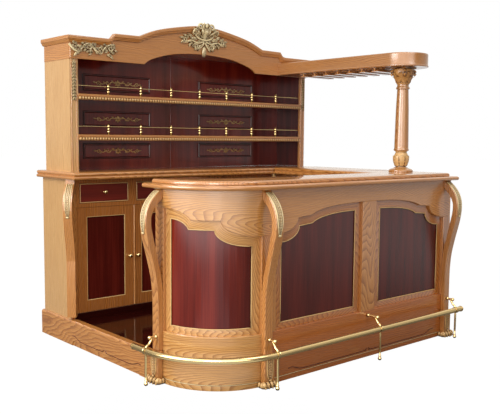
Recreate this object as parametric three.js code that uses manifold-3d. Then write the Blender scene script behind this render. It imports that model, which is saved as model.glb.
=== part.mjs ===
// Home bar: a curved front counter with a foot rail, a return counter, a back cabinet with doors and
// drawers, a shelf hutch with an arched cornice, and a canopy arm on a column with a glass rack.
import * as THREE from 'three';
import { mergeVertices } from 'three/addons/utils/BufferGeometryUtils.js';
import Module from 'manifold-3d';

const wasm = await Module();
wasm.setup();

// All sizes are millimetres. X runs along the front from the centre of the rounded corner, Y runs from
// there to the back, and Z is up from the floor. An r is a distance out of that centre, so the front
// faces lie at y = -r and the left end at x = -r.
const GAP = 0.3;

// Platform
const DECK_TOP = 145;
const DECK_THICK = 23;
const PLINTH_TOP = 158;
const PLINTH_THICK = 45;
const PLINTH_LEFT = -420;
const PLINTH_RIGHT = 1690;
const PLINTH_BACK = 1385;
const APRON_RISE = 32;
const APRON_DEEP = 5;
const APRON_SCROLL = 40;
const BASE_R = 394;
const BASE_TOP = 162;
const BASE_LEFT_END = 75;

// Front bar
const FACE_R = 388;
const FRAME_R = 370;
const INNER_R = 346;
const PANEL_OUT_R = 366;
const PANEL_IN_R = 356;
const PANEL_PLAY = 0.6;
const RABBET = 9;
const BODY_TOP = 1051.7;
const BODY_LEFT_END = 70;
const BODY_RIGHT = 1683;
const CORNER_STEPS = 20;
const FRAME_FOOT = 284;
const PANEL_FOOT = 322;
const STILE_X = 842;
const LIP_R = 446;
const LIP_TOP = 1078;
const LIP_LEFT_END = 112;
const LIP_RIGHT = 1685;
const SLAB_R = 402;
const SLAB_TOP = 1100;
const SLAB_RIGHT = 1640;
const SLAB_BACK = 110;
const SLAB_IN_R = 105;
const BAR_SHELF_TOP = 612;

// Legs, foot rail and brackets
const LEG_WIDE = 56;
const LEG_LEFT_Y = 28;
const LEG_RIGHT_X = 1628;
const CORBEL_FOOT = 176;
const RAIL_R = 490;
const BRACKET_LEFT_Y = 12;
const RAIL_Z = 190;
const RAIL_THICK_R = 16;
const RAIL_LEFT_END = 133;
const RAIL_RIGHT = 1690;
const ROD_Z = 257;
const LEG_FACE_R = 419;

// Return counter and back cabinet
const RETURN_IN = 1345;
const RETURN_THICK = 20;
const RETURN_TOP_IN = 1215;
const CAB_LEFT = -405;
const CAB_FRONT = 985;
const CAB_BACK = 1367;
const BOARD = 20;
const BACK_TOP_LEFT = -448;
const BACK_TOP_FRONT = 857;
const BACK_TOP_TOP = 1098;
const DOOR_FOOT = 195;
const DOOR_HEAD = 869;
const DOOR_BAYS = [[-360, 464], [500, 1324]];
const DOOR_PLAY = 2;
const DOOR_STILE = 64;
const DOOR_RAILS = [73, 60];
const DRAWER_X = -342;
const DRAWER_PITCH = 420;
const DRAWER_WIDE = 356;
const DRAWER_FOOT = 899;
const DRAWER_HEAD = 1022;
const DRAWER_DEEP = 312;
const DRAWER_DECK = 893;

// Hutch, cornice, canopy arm and column
const HUTCH_LEFT = -402;
const HUTCH_RIGHT = 1663;
const HUTCH_MID = (HUTCH_LEFT + HUTCH_RIGHT) / 2;
const HUTCH_FRONT = 985;
const HUTCH_BACK = 1322;
const HUTCH_HEAD = 1905;
const HUTCH_BOARD = 22;
const HUTCH_STILE = 57;
const HUTCH_STILE_RIGHT = 48;
const HUTCH_PANEL_Y = 1280;
const SHELF_TOPS = [1333, 1588];
const SHELF_THICK = 37;
const SHELF_FRONT = 989;
const RAISED_X = [[-152, 378], [819, 1349]];
const RAISED_ROWS = [[1172, 1272], [1390, 1491], [1631, 1737]];
const POST_FIRST = -119;
const POST_PITCH = 247;
const POST_COUNT = 7;
const CORNICE_HALF = 1034.5;
const CORNICE_FOOT = 1798;
const CORNICE_HEAD = 1939;
const CORNICE_FRONT = 972;
const CROWN_STEPS = [[22, 22], [38, 11]];
const ARM_Z = 1802;
const ARM_R = 162;
const ARM_X = 1514;
const ARM_END_Y = -95;
const RACK_RAILS = 7;
const RACK_FIRST_Y = 32;
const RACK_PITCH = 112;

const OAK = { color: 0xc48a4c, roughness: 0.4, metalness: 0 };
const MAHOGANY = { color: 0x561d1a, roughness: 0.25, metalness: 0 };
const BRASS = { color: 0xc8a75a, roughness: 0.25, metalness: 1 };

const bar = new THREE.Group();

function add(name, geometry, finish) {
  const mesh = new THREE.Mesh(geometry, new THREE.MeshStandardMaterial(finish));
  mesh.name = name;
  bar.add(mesh);
  return mesh;
}

// Boolean joins and cuts

function toSolid(geometry) {
  const bare = geometry.clone();
  bare.deleteAttribute('normal');
  bare.deleteAttribute('uv');
  const welded = mergeVertices(bare, 1e-3);
  return new wasm.Manifold(new wasm.Mesh({
    numProp: 3,
    vertProperties: new Float32Array(welded.getAttribute('position').array),
    triVerts: new Uint32Array(welded.index.array),
  }));
}

function toGeometry(solid) {
  const mesh = solid.getMesh();
  const geometry = new THREE.BufferGeometry();
  geometry.setAttribute('position', new THREE.BufferAttribute(mesh.vertProperties.slice(), 3));
  geometry.setIndex(new THREE.BufferAttribute(mesh.triVerts.slice(), 1));
  return geometry;
}

function join(...pieces) {
  return toGeometry(pieces.map(toSolid).reduce((whole, piece) => whole.add(piece)));
}

function cut(body, ...tools) {
  return toGeometry(tools.map(toSolid).reduce((whole, tool) => whole.subtract(tool), toSolid(body)));
}

// Plain solids

function box(x0, x1, y0, y1, z0, z1) {
  const geometry = new THREE.BoxGeometry(x1 - x0, y1 - y0, z1 - z0);
  return geometry.translate((x0 + x1) / 2, (y0 + y1) / 2, (z0 + z1) / 2);
}

function outline(points) {
  return new THREE.Shape(points.map(([a, b]) => new THREE.Vector2(a, b)));
}

function rectangle(a0, a1, b0, b1) {
  return outline([[a0, b0], [a1, b0], [a1, b1], [a0, b1]]);
}

// A shape pushed along one axis: drawn in (y, z) for x, in (x, z) for y and in (x, y) for z
function prism(axis, shape, from, to, bevel = 0) {
  const geometry = new THREE.ExtrudeGeometry(shape, {
    depth: to - from - 2 * bevel,
    bevelEnabled: bevel > 0,
    bevelSize: bevel,
    bevelOffset: -bevel,
    bevelThickness: bevel,
    bevelSegments: 2,
    curveSegments: 8,
  });
  geometry.translate(0, 0, bevel);
  const x = new THREE.Vector3(1, 0, 0);
  const y = new THREE.Vector3(0, 1, 0);
  const z = new THREE.Vector3(0, 0, 1);
  if (axis === 'x') {
    geometry.applyMatrix4(new THREE.Matrix4().makeBasis(y, z, x));
    return geometry.translate(from, 0, 0);
  }
  if (axis === 'y') {
    geometry.applyMatrix4(new THREE.Matrix4().makeBasis(x, z, y.negate()));
    return geometry.translate(0, to, 0);
  }
  return geometry.translate(0, 0, from);
}

// A turned solid about a vertical axis, from [radius, height] points that start and end on it
function turned(points, x, y, sides = 16) {
  const profile = points.map(([r, z]) => new THREE.Vector2(r, z));
  return new THREE.LatheGeometry(profile, sides).rotateX(Math.PI / 2).translate(x, y, 0);
}

function tube(points, radius, sides = 8) {
  const path = new THREE.CatmullRomCurve3(points.map((p) => new THREE.Vector3(...p)));
  const ring = new THREE.Shape().absarc(0, 0, radius, 0, 2 * Math.PI);
  const steps = points.length === 2 ? 1 : 3 * points.length;
  return new THREE.ExtrudeGeometry(ring, { steps, curveSegments: sides / 2, extrudePath: path });
}

function ball(x, y, z, radius) {
  return new THREE.SphereGeometry(radius, 8, 6).translate(x, y, z);
}

function signedVolume(positions, index) {
  const corner = (i) => new THREE.Vector3().fromArray(positions, 3 * index[i]);
  let volume = 0;
  for (let i = 0; i < index.length; i += 3) {
    volume += corner(i).dot(corner(i + 1).cross(corner(i + 2))) / 6;
  }
  return volume;
}

// A closed skin through sections that all have the corners of one outline
function loft(sections, corners) {
  const count = corners.length;
  const positions = sections.flat().flatMap((point) => point.toArray());
  const index = [];
  for (let s = 0; s + 1 < sections.length; s += 1) {
    for (let i = 0; i < count; i += 1) {
      const a = s * count + i;
      const b = s * count + ((i + 1) % count);
      index.push(a, b, b + count, a, b + count, a + count);
    }
  }
  const last = (sections.length - 1) * count;
  const contour = corners.map(([a, b]) => new THREE.Vector2(a, b));
  for (const [a, b, c] of THREE.ShapeUtils.triangulateShape(contour, [])) {
    index.push(c, b, a, last + a, last + b, last + c);
  }
  if (signedVolume(positions, index) < 0) {
    index.reverse();
  }
  const geometry = new THREE.BufferGeometry();
  geometry.setAttribute('position', new THREE.Float32BufferAttribute(positions, 3));
  geometry.setIndex(index);
  return geometry;
}

// Bar front: sections drawn in (r, z), swept along the left end, the rounded corner and the front

function atCorner(r, degrees, z) {
  const t = THREE.MathUtils.degToRad(degrees);
  return new THREE.Vector3(-r * Math.cos(t), -r * Math.sin(t), z);
}

function sweep(section, leftEnd, rightEnd) {
  const stations = [section.map(([r, z]) => new THREE.Vector3(-r, leftEnd, z))];
  for (let i = 0; i <= CORNER_STEPS; i += 1) {
    stations.push(section.map(([r, z]) => atCorner(r, (90 * i) / CORNER_STEPS, z)));
  }
  if (rightEnd > 0) {
    stations.push(section.map(([r, z]) => new THREE.Vector3(rightEnd, -r, z)));
  }
  return loft(stations, section);
}

// Plan of the space inside radius r, up to a right end and a back line
function plan(r, left, right, back) {
  const shape = new THREE.Shape();
  shape.moveTo(left, back);
  shape.lineTo(left, -Math.sqrt(Math.max(r * r - left * left, 0)));
  shape.absarc(0, 0, r, Math.PI + Math.acos(Math.min(-left / r, 1)), 1.5 * Math.PI, false);
  shape.lineTo(right, -r);
  shape.lineTo(right, back);
  return shape;
}

// Scalloped head of a panel: an arch at its high end, a shoulder, and a round ear at its low end.
// The first number of each point runs along the face, in millimetres or in degrees of the corner.
function scallop({ high, shoulder, ear, low }) {
  const drop = high[1] - shoulder[1];
  const run = shoulder[0] - high[0];
  const arch = new THREE.CubicBezierCurve(
    new THREE.Vector2(...high),
    new THREE.Vector2(high[0] + 0.55 * run, high[1]),
    new THREE.Vector2(shoulder[0] - 0.1 * run, high[1] - 0.45 * drop),
    new THREE.Vector2(...shoulder),
  );
  const points = arch.getPoints(7).map((p) => [p.x, p.y]);
  for (let i = 1; i <= 4; i += 1) {
    const part = i / 4;
    points.push(shoulder.map((value, k) => value + part * (ear[k] - value)));
  }
  for (let i = 1; i <= 7; i += 1) {
    const turn = (Math.PI / 2) * (1 - i / 7);
    const along = low[0] + (ear[0] - low[0]) * Math.sin(turn);
    points.push([along, ear[1] + (low[1] - ear[1]) * Math.cos(turn)]);
  }
  return points;
}

// The same head, wider by along at both ends and higher by up
function grown(head, along, up) {
  const side = Math.sign(head.low[0] - head.high[0]);
  return {
    high: [head.high[0] - side * along, head.high[1] + up],
    shoulder: [head.shoulder[0], head.shoulder[1] + up],
    ear: [head.ear[0], head.ear[1] + up],
    low: [head.low[0] + side * along, head.low[1] + up],
  };
}

function flatPanel(head, foot, fromR, toR) {
  const points = scallop(head);
  const shape = outline([[head.high[0], foot], ...points, [head.low[0], foot]]);
  return prism('y', shape, -toR, -fromR);
}

function curvedPanel(head, foot, fromR, toR) {
  const stations = scallop(head).map(([t, z]) => [
    atCorner(fromR, t, foot), atCorner(toR, t, foot), atCorner(toR, t, z), atCorner(fromR, t, z),
  ]);
  return loft(stations, [[0, 0], [1, 0], [1, 1], [0, 1]]);
}

function mirrored(head) {
  const flip = ([x, z]) => [2 * STILE_X - x, z];
  return {
    high: flip(head.high), shoulder: flip(head.shoulder), ear: flip(head.ear), low: flip(head.low),
  };
}

const CURVED_HEAD = { high: [7, 895], shoulder: [25, 845], ear: [47, 845], low: [78, 758] };
const CURVED_FRAME = { high: [0.5, 950], shoulder: [28, 894], ear: [52, 894], low: [86, 807] };
const FLAT_HEAD = { high: [728, 902], shoulder: [367, 851], ear: [263, 842], low: [125, 762] };
const FLAT_FRAME = { high: [780, 950], shoulder: [345, 898], ear: [240, 890], low: [77, 808] };
const RABBET_DEG = THREE.MathUtils.radToDeg(RABBET / PANEL_OUT_R);
const PLAY_DEG = THREE.MathUtils.radToDeg(PANEL_PLAY / PANEL_OUT_R);

function frameCuts(panel, head, frame, along) {
  return [
    panel(frame, FRAME_FOOT, FRAME_R, FACE_R + BOARD),
    panel(head, PANEL_FOOT, INNER_R - BOARD, FACE_R + BOARD),
    panel(grown(head, along, RABBET), PANEL_FOOT - RABBET, INNER_R - BOARD, PANEL_OUT_R + GAP),
  ];
}

function addPlatform() {
  const deckBack = CAB_BACK - BOARD - GAP;
  const deckLeft = PLINTH_LEFT + PLINTH_THICK + GAP;
  const deckRight = PLINTH_RIGHT - PLINTH_THICK - GAP;
  const deckFoot = DECK_TOP - DECK_THICK;
  const inside = INNER_R - PANEL_PLAY;
  const front = prism('z', plan(inside, -inside, deckRight, 2 * BASE_LEFT_END), deckFoot, DECK_TOP);
  const rest = box(deckLeft, deckRight, BASE_LEFT_END + GAP, deckBack, deckFoot, DECK_TOP);
  add('deck', join(front, rest), MAHOGANY);

  const round = PLINTH_TOP - 14;
  const edge = new THREE.Shape();
  edge.moveTo(PLINTH_LEFT, 0);
  edge.lineTo(PLINTH_LEFT + PLINTH_THICK, 0);
  edge.lineTo(PLINTH_LEFT + PLINTH_THICK, PLINTH_TOP);
  edge.lineTo(PLINTH_LEFT + 14, PLINTH_TOP);
  edge.absarc(PLINTH_LEFT + 14, round, 14, Math.PI / 2, Math.PI, false);
  const plinthLeft = prism('y', edge, BASE_LEFT_END + GAP, PLINTH_BACK);
  add('plinth_left', cut(plinthLeft, prism('x', apron(185, 955), PLINTH_LEFT - 1,
    PLINTH_LEFT + APRON_DEEP)), OAK);
  add('plinth_right', box(PLINTH_RIGHT - PLINTH_THICK, PLINTH_RIGHT, -inside, PLINTH_BACK, 0, PLINTH_TOP),
    OAK);
  add('plinth_back', box(deckLeft, deckRight, CAB_BACK - BOARD, PLINTH_BACK, 0, PLINTH_TOP),
    OAK);

  const section = [[INNER_R, 0], [BASE_R, 0], [BASE_R, 27], [BASE_R - 3, 28], [BASE_R - 3, 30],
    [BASE_R - 1, 31], [BASE_R - 1, 134], [BASE_R - 2, 148], [BASE_R - 4, 158], [FACE_R, BASE_TOP],
    [INNER_R, BASE_TOP]];
  const frontApron = prism('y', apron(90, 1500), -BASE_R - 1, -BASE_R + APRON_DEEP);
  add('front_base', cut(sweep(section, BASE_LEFT_END, PLINTH_RIGHT), frontApron), OAK);
}

// Low opening between two bracket feet, with a rounded scroll at each end
function apron(from, to) {
  const shape = new THREE.Shape();
  shape.moveTo(from, -1);
  shape.lineTo(from, APRON_RISE / 2);
  shape.quadraticCurveTo(from, APRON_RISE, from + APRON_SCROLL, APRON_RISE);
  shape.lineTo(to - APRON_SCROLL, APRON_RISE);
  shape.quadraticCurveTo(to, APRON_RISE, to, APRON_RISE / 2);
  shape.lineTo(to, -1);
  return shape;
}

function addFrontBar() {
  const foot = BASE_TOP + GAP;
  const board = [[INNER_R, foot], [FACE_R, foot], [FACE_R, BODY_TOP], [INNER_R, BODY_TOP]];
  const curvedCuts = frameCuts(curvedPanel, CURVED_HEAD, CURVED_FRAME, RABBET_DEG);
  add('front_frame_curved', cut(sweep(board, BODY_LEFT_END, 0), ...curvedCuts), OAK);
  const inset = RABBET - PANEL_PLAY;
  const curvedHead = grown(CURVED_HEAD, RABBET_DEG - PLAY_DEG, inset);
  add('front_panel_curved', curvedPanel(curvedHead, PANEL_FOOT - inset, PANEL_IN_R,
    PANEL_OUT_R - GAP), MAHOGANY);

  const flat = box(GAP, BODY_RIGHT, -FACE_R, -INNER_R, foot, BODY_TOP);
  const heads = [FLAT_HEAD, mirrored(FLAT_HEAD)];
  const frames = [FLAT_FRAME, mirrored(FLAT_FRAME)];
  const flatCuts = heads.flatMap((head, i) => frameCuts(flatPanel, head, frames[i], RABBET));
  add('front_frame_flat', cut(flat, ...flatCuts), OAK);
  ['front_panel_left', 'front_panel_right'].forEach((name, i) => {
    const head = grown(heads[i], inset, inset);
    add(name, flatPanel(head, PANEL_FOOT - inset, PANEL_IN_R, PANEL_OUT_R - GAP), MAHOGANY);
  });

  const inside = INNER_R - PANEL_PLAY;
  const standing = DECK_TOP + GAP;
  add('bar_end_left', box(-inside, -inside + 55, 18, BODY_LEFT_END, standing, BODY_TOP), OAK);
  add('bar_end_right', box(RETURN_IN, RETURN_IN + RETURN_THICK, -inside, SLAB_BACK, standing, BODY_TOP),
    OAK);
  const shelf = plan(inside, -inside + 55 + GAP, RETURN_IN - GAP, BODY_LEFT_END - 10);
  add('bar_shelf', prism('z', shelf, BAR_SHELF_TOP - HUTCH_BOARD, BAR_SHELF_TOP), OAK);
}

function addFrontCounter() {
  const lipFoot = BODY_TOP + GAP;
  const nose = 10;
  const lip = [[INNER_R - 16, lipFoot], [LIP_R - nose, lipFoot], [LIP_R - 3, lipFoot + 5], [LIP_R, 1065],
    [LIP_R - 3, LIP_TOP - 5], [LIP_R - nose, LIP_TOP], [INNER_R - 16, LIP_TOP]];
  add('front_counter_moulding', sweep(lip, LIP_LEFT_END, LIP_RIGHT), OAK);
  const slab = plan(SLAB_R, -SLAB_R, SLAB_RIGHT, SLAB_BACK);
  slab.lineTo(RETURN_TOP_IN, SLAB_BACK);
  slab.lineTo(RETURN_TOP_IN, -SLAB_IN_R);
  slab.lineTo(0, -SLAB_IN_R);
  slab.absarc(0, 0, SLAB_IN_R, 1.5 * Math.PI, Math.PI, true);
  slab.lineTo(-SLAB_IN_R, SLAB_BACK);
  add('front_counter_top', prism('z', slab, LIP_TOP + GAP, SLAB_TOP, 6), OAK);
}

// Side outline of an S-shaped leg in (-r, z), which stands clear of the body between its ends
function legOutline(foot) {
  const outer = [[404, 1040], [440, 1010], [470, 974], [489, 932], [496, 888], [494, 840], [483, 778],
    [455, 672], [431, 566], [421, 470], [LEG_FACE_R, 370]];
  const inner = [[390, 520], [398, 590], [420, 679], [444, 783], [456, 838], [459, 874], [455, 912],
    [430, 958], [391, 996]];
  const spline = (points, count) => new THREE.SplineCurve(
    points.map(([r, z]) => new THREE.Vector2(-r, z)),
  ).getPoints(count);
  const touch = -FACE_R - GAP;
  return new THREE.Shape([
    new THREE.Vector2(touch, BODY_TOP),
    new THREE.Vector2(-392, BODY_TOP),
    ...spline(outer, 24),
    new THREE.Vector2(-LEG_FACE_R, foot),
    new THREE.Vector2(touch, foot),
    new THREE.Vector2(touch, 505),
    ...spline(inner, 18),
    new THREE.Vector2(touch, 1003),
  ]);
}

function legGeometry() {
  const half = LEG_WIDE / 2;
  const stem = prism('x', legOutline(BASE_TOP + GAP), -half, half);
  const back = -BASE_R - GAP;
  const block = box(-36, 36, -430, back, 20, BASE_TOP + 16);
  const toes = new THREE.Shape();
  toes.moveTo(-44, back);
  toes.lineTo(-46, -420);
  toes.quadraticCurveTo(-46, -447, -24, -447);
  toes.lineTo(24, -447);
  toes.quadraticCurveTo(46, -447, 46, -420);
  toes.lineTo(44, back);
  return join(stem, block, prism('z', toes, 0, 36, 5));
}

function addLegs() {
  const leg = legGeometry();
  const left = add('leg_left', leg, OAK);
  left.rotation.z = -Math.PI / 2;
  left.position.y = LEG_LEFT_Y;
  add('leg_middle', leg.clone(), OAK);
  add('leg_right', leg.clone(), OAK).position.x = LEG_RIGHT_X;
}

// Foot rail bracket in the plane of its leg: a knobbed rod, a bent arm, a sleeve and a prop to the floor
function bracketGeometry(fromR) {
  const start = -fromR - GAP;
  const sleeve = new THREE.Shape().absarc(0, 0, RAIL_THICK_R + 3, 0, 2 * Math.PI);
  sleeve.holes.push(new THREE.Path().absarc(0, 0, RAIL_THICK_R + 1, 0, 2 * Math.PI));
  const ring = prism('x', sleeve, -11, 11).translate(0, -RAIL_R, RAIL_Z);
  const ringTop = RAIL_Z + RAIL_THICK_R + 2;
  const ringFoot = RAIL_Z - RAIL_THICK_R - 2;
  return join(
    tube([[0, start, ROD_Z], [0, start - 4, ROD_Z]], 12),
    tube([[0, start - 2, ROD_Z], [0, -462, ROD_Z]], 6),
    ball(0, -464, ROD_Z, 9),
    tube([[0, -446, ROD_Z], [0, -464, 240], [0, -481, 226], [0, -RAIL_R, 217], [0, -RAIL_R, ringTop]], 5),
    ring,
    tube([[0, -RAIL_R, ringFoot], [0, -RAIL_R, 10]], 5.5),
    ball(0, -RAIL_R, 11, 11),
  );
}

function addFootrail() {
  const circle = [];
  for (let i = 0; i < 12; i += 1) {
    const turn = (2 * Math.PI * i) / 12;
    circle.push([RAIL_R + RAIL_THICK_R * Math.cos(turn), RAIL_Z + RAIL_THICK_R * Math.sin(turn)]);
  }
  add('footrail', sweep(circle, RAIL_LEFT_END, RAIL_RIGHT), BRASS);
  const onLeg = bracketGeometry(LEG_FACE_R);
  const left = add('rail_bracket_1', onLeg, BRASS);
  left.rotation.z = -Math.PI / 2;
  left.position.y = BRACKET_LEFT_Y;
  add('rail_bracket_2', onLeg.clone(), BRASS);
  add('rail_bracket_3', bracketGeometry(FACE_R), BRASS).position.x = STILE_X;
  add('rail_bracket_4', onLeg.clone(), BRASS).position.x = LEG_RIGHT_X;
}

function addReturn() {
  const standing = DECK_TOP + GAP;
  add('return_panel_inner', box(RETURN_IN, RETURN_IN + RETURN_THICK, SLAB_BACK + GAP,
    CAB_BACK - BOARD - GAP, standing, BODY_TOP), OAK);
  add('return_panel_outer', box(BODY_RIGHT - RETURN_THICK, BODY_RIGHT, PANEL_PLAY - INNER_R, CAB_BACK,
    PLINTH_TOP + GAP, BODY_TOP), OAK);
  const top = rectangle(RETURN_TOP_IN, LIP_RIGHT, LIP_LEFT_END + GAP, BACK_TOP_FRONT - GAP);
  add('return_counter_top', prism('z', top, BODY_TOP + GAP, SLAB_TOP, 8), OAK);
}

function addCabinet() {
  const standing = PLINTH_TOP + GAP;
  const inY = CAB_FRONT + BOARD + GAP;
  const frameRight = RETURN_IN - GAP;
  add('cabinet_side_left', box(CAB_LEFT, CAB_LEFT + BOARD, inY, CAB_BACK, standing, BODY_TOP), OAK);
  add('cabinet_back', box(CAB_LEFT + BOARD + GAP, BODY_RIGHT - RETURN_THICK - GAP, CAB_BACK - BOARD,
    CAB_BACK, standing, BODY_TOP), MAHOGANY);
  const midX = (DOOR_BAYS[0][1] + DOOR_BAYS[1][0]) / 2;
  add('cabinet_divider', box(midX - 9, midX + 9, inY, CAB_BACK - BOARD - GAP, DECK_TOP + GAP,
    DRAWER_DECK - 18 - GAP), OAK);
  add('drawer_deck', box(CAB_LEFT + BOARD + GAP, frameRight, inY, CAB_BACK - BOARD - GAP,
    DRAWER_DECK - 18, DRAWER_DECK), OAK);

  const deckEdge = PLINTH_LEFT + PLINTH_THICK + GAP;
  const frame = outline([[CAB_LEFT, standing], [deckEdge, standing], [deckEdge, DECK_TOP + GAP],
    [frameRight, DECK_TOP + GAP], [frameRight, BODY_TOP], [CAB_LEFT, BODY_TOP]]);
  const openings = DOOR_BAYS.map(([from, to]) => [from, to, DOOR_FOOT, DOOR_HEAD]);
  for (let i = 0; i < 4; i += 1) {
    const x = DRAWER_X + i * DRAWER_PITCH;
    openings.push([x - DOOR_PLAY, x + DRAWER_WIDE + DOOR_PLAY, DRAWER_FOOT, DRAWER_HEAD]);
  }
  const cutters = openings.map(([x0, x1, z0, z1]) => box(x0, x1, CAB_FRONT - 1, CAB_FRONT + BOARD + 1,
    z0 - DOOR_PLAY, z1 + DOOR_PLAY));
  add('face_frame', cut(prism('y', frame, CAB_FRONT, CAB_FRONT + BOARD), ...cutters), OAK);
  addDrawers();
  addDoors();
  const top = rectangle(BACK_TOP_LEFT, LIP_RIGHT, BACK_TOP_FRONT, CAB_BACK + 5);
  add('back_counter_top', prism('z', top, BODY_TOP + GAP, BACK_TOP_TOP, 8), OAK);
}

function knob(x, y, z) {
  return join(
    tube([[x, y + 2, z], [x, y - 16, z]], 6),
    new THREE.SphereGeometry(13, 10, 6).scale(1, 0.75, 1).translate(x, y - 18, z),
  );
}

function addDrawers() {
  const wall = 10;
  const frontBack = CAB_FRONT + BOARD;
  for (let i = 0; i < 4; i += 1) {
    const x0 = DRAWER_X + i * DRAWER_PITCH;
    const x1 = x0 + DRAWER_WIDE;
    const tray = box(x0 + 8, x1 - 8, frontBack - 5, CAB_FRONT + DRAWER_DEEP, DRAWER_FOOT, DRAWER_HEAD - 12);
    const hollow = box(x0 + 8 + wall, x1 - 8 - wall, frontBack, CAB_FRONT + DRAWER_DEEP - wall,
      DRAWER_FOOT + wall, DRAWER_HEAD);
    const front = prism('y', rectangle(x0, x1, DRAWER_FOOT, DRAWER_HEAD), CAB_FRONT, frontBack, 3);
    const body = cut(join(front, tray), hollow);
    add(`drawer_${i + 1}`, join(body, knob((x0 + x1) / 2, CAB_FRONT, 965)), MAHOGANY);
  }
}

function addDoors() {
  const back = CAB_FRONT + BOARD;
  for (let i = 0; i < 4; i += 1) {
    const [from, to] = DOOR_BAYS[i < 2 ? 0 : 1];
    const middle = (from + to) / 2;
    const x0 = i % 2 === 0 ? from + DOOR_PLAY : middle + DOOR_PLAY / 2;
    const x1 = i % 2 === 0 ? middle - DOOR_PLAY / 2 : to - DOOR_PLAY;
    const px0 = x0 + DOOR_STILE;
    const px1 = x1 - DOOR_STILE;
    const pz0 = DOOR_FOOT + DOOR_RAILS[0];
    const pz1 = DOOR_HEAD - DOOR_RAILS[1];
    const leaf = box(x0, x1, CAB_FRONT, back, DOOR_FOOT, DOOR_HEAD);
    const opening = box(px0, px1, CAB_FRONT - 1, back + 1, pz0, pz1);
    const rabbet = box(px0 - RABBET, px1 + RABBET, CAB_FRONT + 8, back + 1, pz0 - RABBET, pz1 + RABBET);
    const knobX = i % 2 === 0 ? x1 - 30 : x0 + 30;
    add(`door_${i + 1}`, join(cut(leaf, opening, rabbet), knob(knobX, CAB_FRONT, 530)), OAK);
    const play = RABBET - PANEL_PLAY;
    add(`door_panel_${i + 1}`, box(px0 - play, px1 + play, CAB_FRONT + 8 + GAP, back - 2, pz0 - play,
      pz1 + play), MAHOGANY);
  }
}

// The back corbel is a slimmer leg set diagonally over the corner of the cabinet
function addCorbel() {
  const slim = 0.887;
  const stem = prism('x', legOutline(CORBEL_FOOT), -LEG_WIDE / 2, LEG_WIDE / 2);
  stem.translate(0, FACE_R + GAP, 0).scale(1, slim, 1).translate(0, 20, 0);
  const root = prism('x', rectangle(-14, 25, CORBEL_FOOT, BODY_TOP), -LEG_WIDE / 2, LEG_WIDE / 2);
  const corbel = join(stem, root).rotateZ(-Math.PI / 4).translate(CAB_LEFT, CAB_FRONT, 0);
  const corner = box(CAB_LEFT - GAP, CAB_LEFT + 200, CAB_FRONT - GAP, CAB_FRONT + 200, 0, SLAB_TOP);
  add('corbel_back', cut(corbel, corner), OAK);
}

function addHutch() {
  const foot = BACK_TOP_TOP + GAP;
  const stileBack = HUTCH_FRONT + HUTCH_BOARD;
  const inLeft = HUTCH_LEFT + HUTCH_BOARD + GAP;
  const inRight = HUTCH_RIGHT - HUTCH_BOARD - GAP;
  const side = (stile, flip) => outline([[HUTCH_LEFT, HUTCH_FRONT], [HUTCH_LEFT + stile, HUTCH_FRONT],
    [HUTCH_LEFT + stile, stileBack], [HUTCH_LEFT + HUTCH_BOARD, stileBack],
    [HUTCH_LEFT + HUTCH_BOARD, HUTCH_BACK], [HUTCH_LEFT, HUTCH_BACK]]
    .map(([x, y]) => [flip ? 2 * HUTCH_MID - x : x, y]));
  add('hutch_side_left', prism('z', side(HUTCH_STILE, false), foot, HUTCH_HEAD), OAK);
  add('hutch_side_right', prism('z', side(HUTCH_STILE_RIGHT, true), foot, HUTCH_HEAD), MAHOGANY);

  const raised = [];
  for (const [z0, z1] of RAISED_ROWS) {
    for (const [x0, x1] of RAISED_X) {
      const shape = rectangle(x0, x1, z0, z1);
      raised.push(prism('y', shape, HUTCH_PANEL_Y - 8, HUTCH_PANEL_Y + 8, 3));
    }
  }
  const back = box(inLeft, inRight, HUTCH_PANEL_Y, HUTCH_PANEL_Y + BOARD, foot, HUTCH_HEAD);
  add('hutch_back', join(back, ...raised), MAHOGANY);
  add('hutch_top', box(HUTCH_LEFT, HUTCH_RIGHT, HUTCH_FRONT, HUTCH_BACK, HUTCH_HEAD + GAP,
    HUTCH_HEAD + BOARD), OAK);

  const noseLeft = HUTCH_LEFT + HUTCH_STILE + GAP;
  const noseRight = HUTCH_RIGHT - HUTCH_STILE_RIGHT - GAP;
  const shelf = outline([[inLeft, stileBack + GAP], [noseLeft, stileBack + GAP], [noseLeft, SHELF_FRONT],
    [noseRight, SHELF_FRONT], [noseRight, stileBack + GAP], [inRight, stileBack + GAP],
    [inRight, HUTCH_PANEL_Y - GAP], [inLeft, HUTCH_PANEL_Y - GAP]]);
  ['lower', 'upper'].forEach((level, i) => {
    const top = SHELF_TOPS[i];
    add(`shelf_${level}`, prism('z', shelf, top - SHELF_THICK, top), MAHOGANY);
    add(`gallery_${level}`, galleryGeometry(top + GAP, noseLeft, noseRight), BRASS);
  });
}

// Brass rail along a shelf, on small turned posts
function galleryGeometry(z, left, right) {
  const y = SHELF_FRONT + 16;
  const pieces = [tube([[left + GAP, y, z + 50], [right - GAP, y, z + 50]], 3)];
  for (let i = 0; i < POST_COUNT; i += 1) {
    const profile = [[0, 0], [11, 0], [10, 8], [5, 14], [7, 30], [5, 42], [8, 50], [5, 58], [6, 66], [0, 72]];
    pieces.push(turned(profile.map(([r, h]) => [r, z + h]), POST_FIRST + i * POST_PITCH, y, 8));
  }
  return join(...pieces);
}

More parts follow.
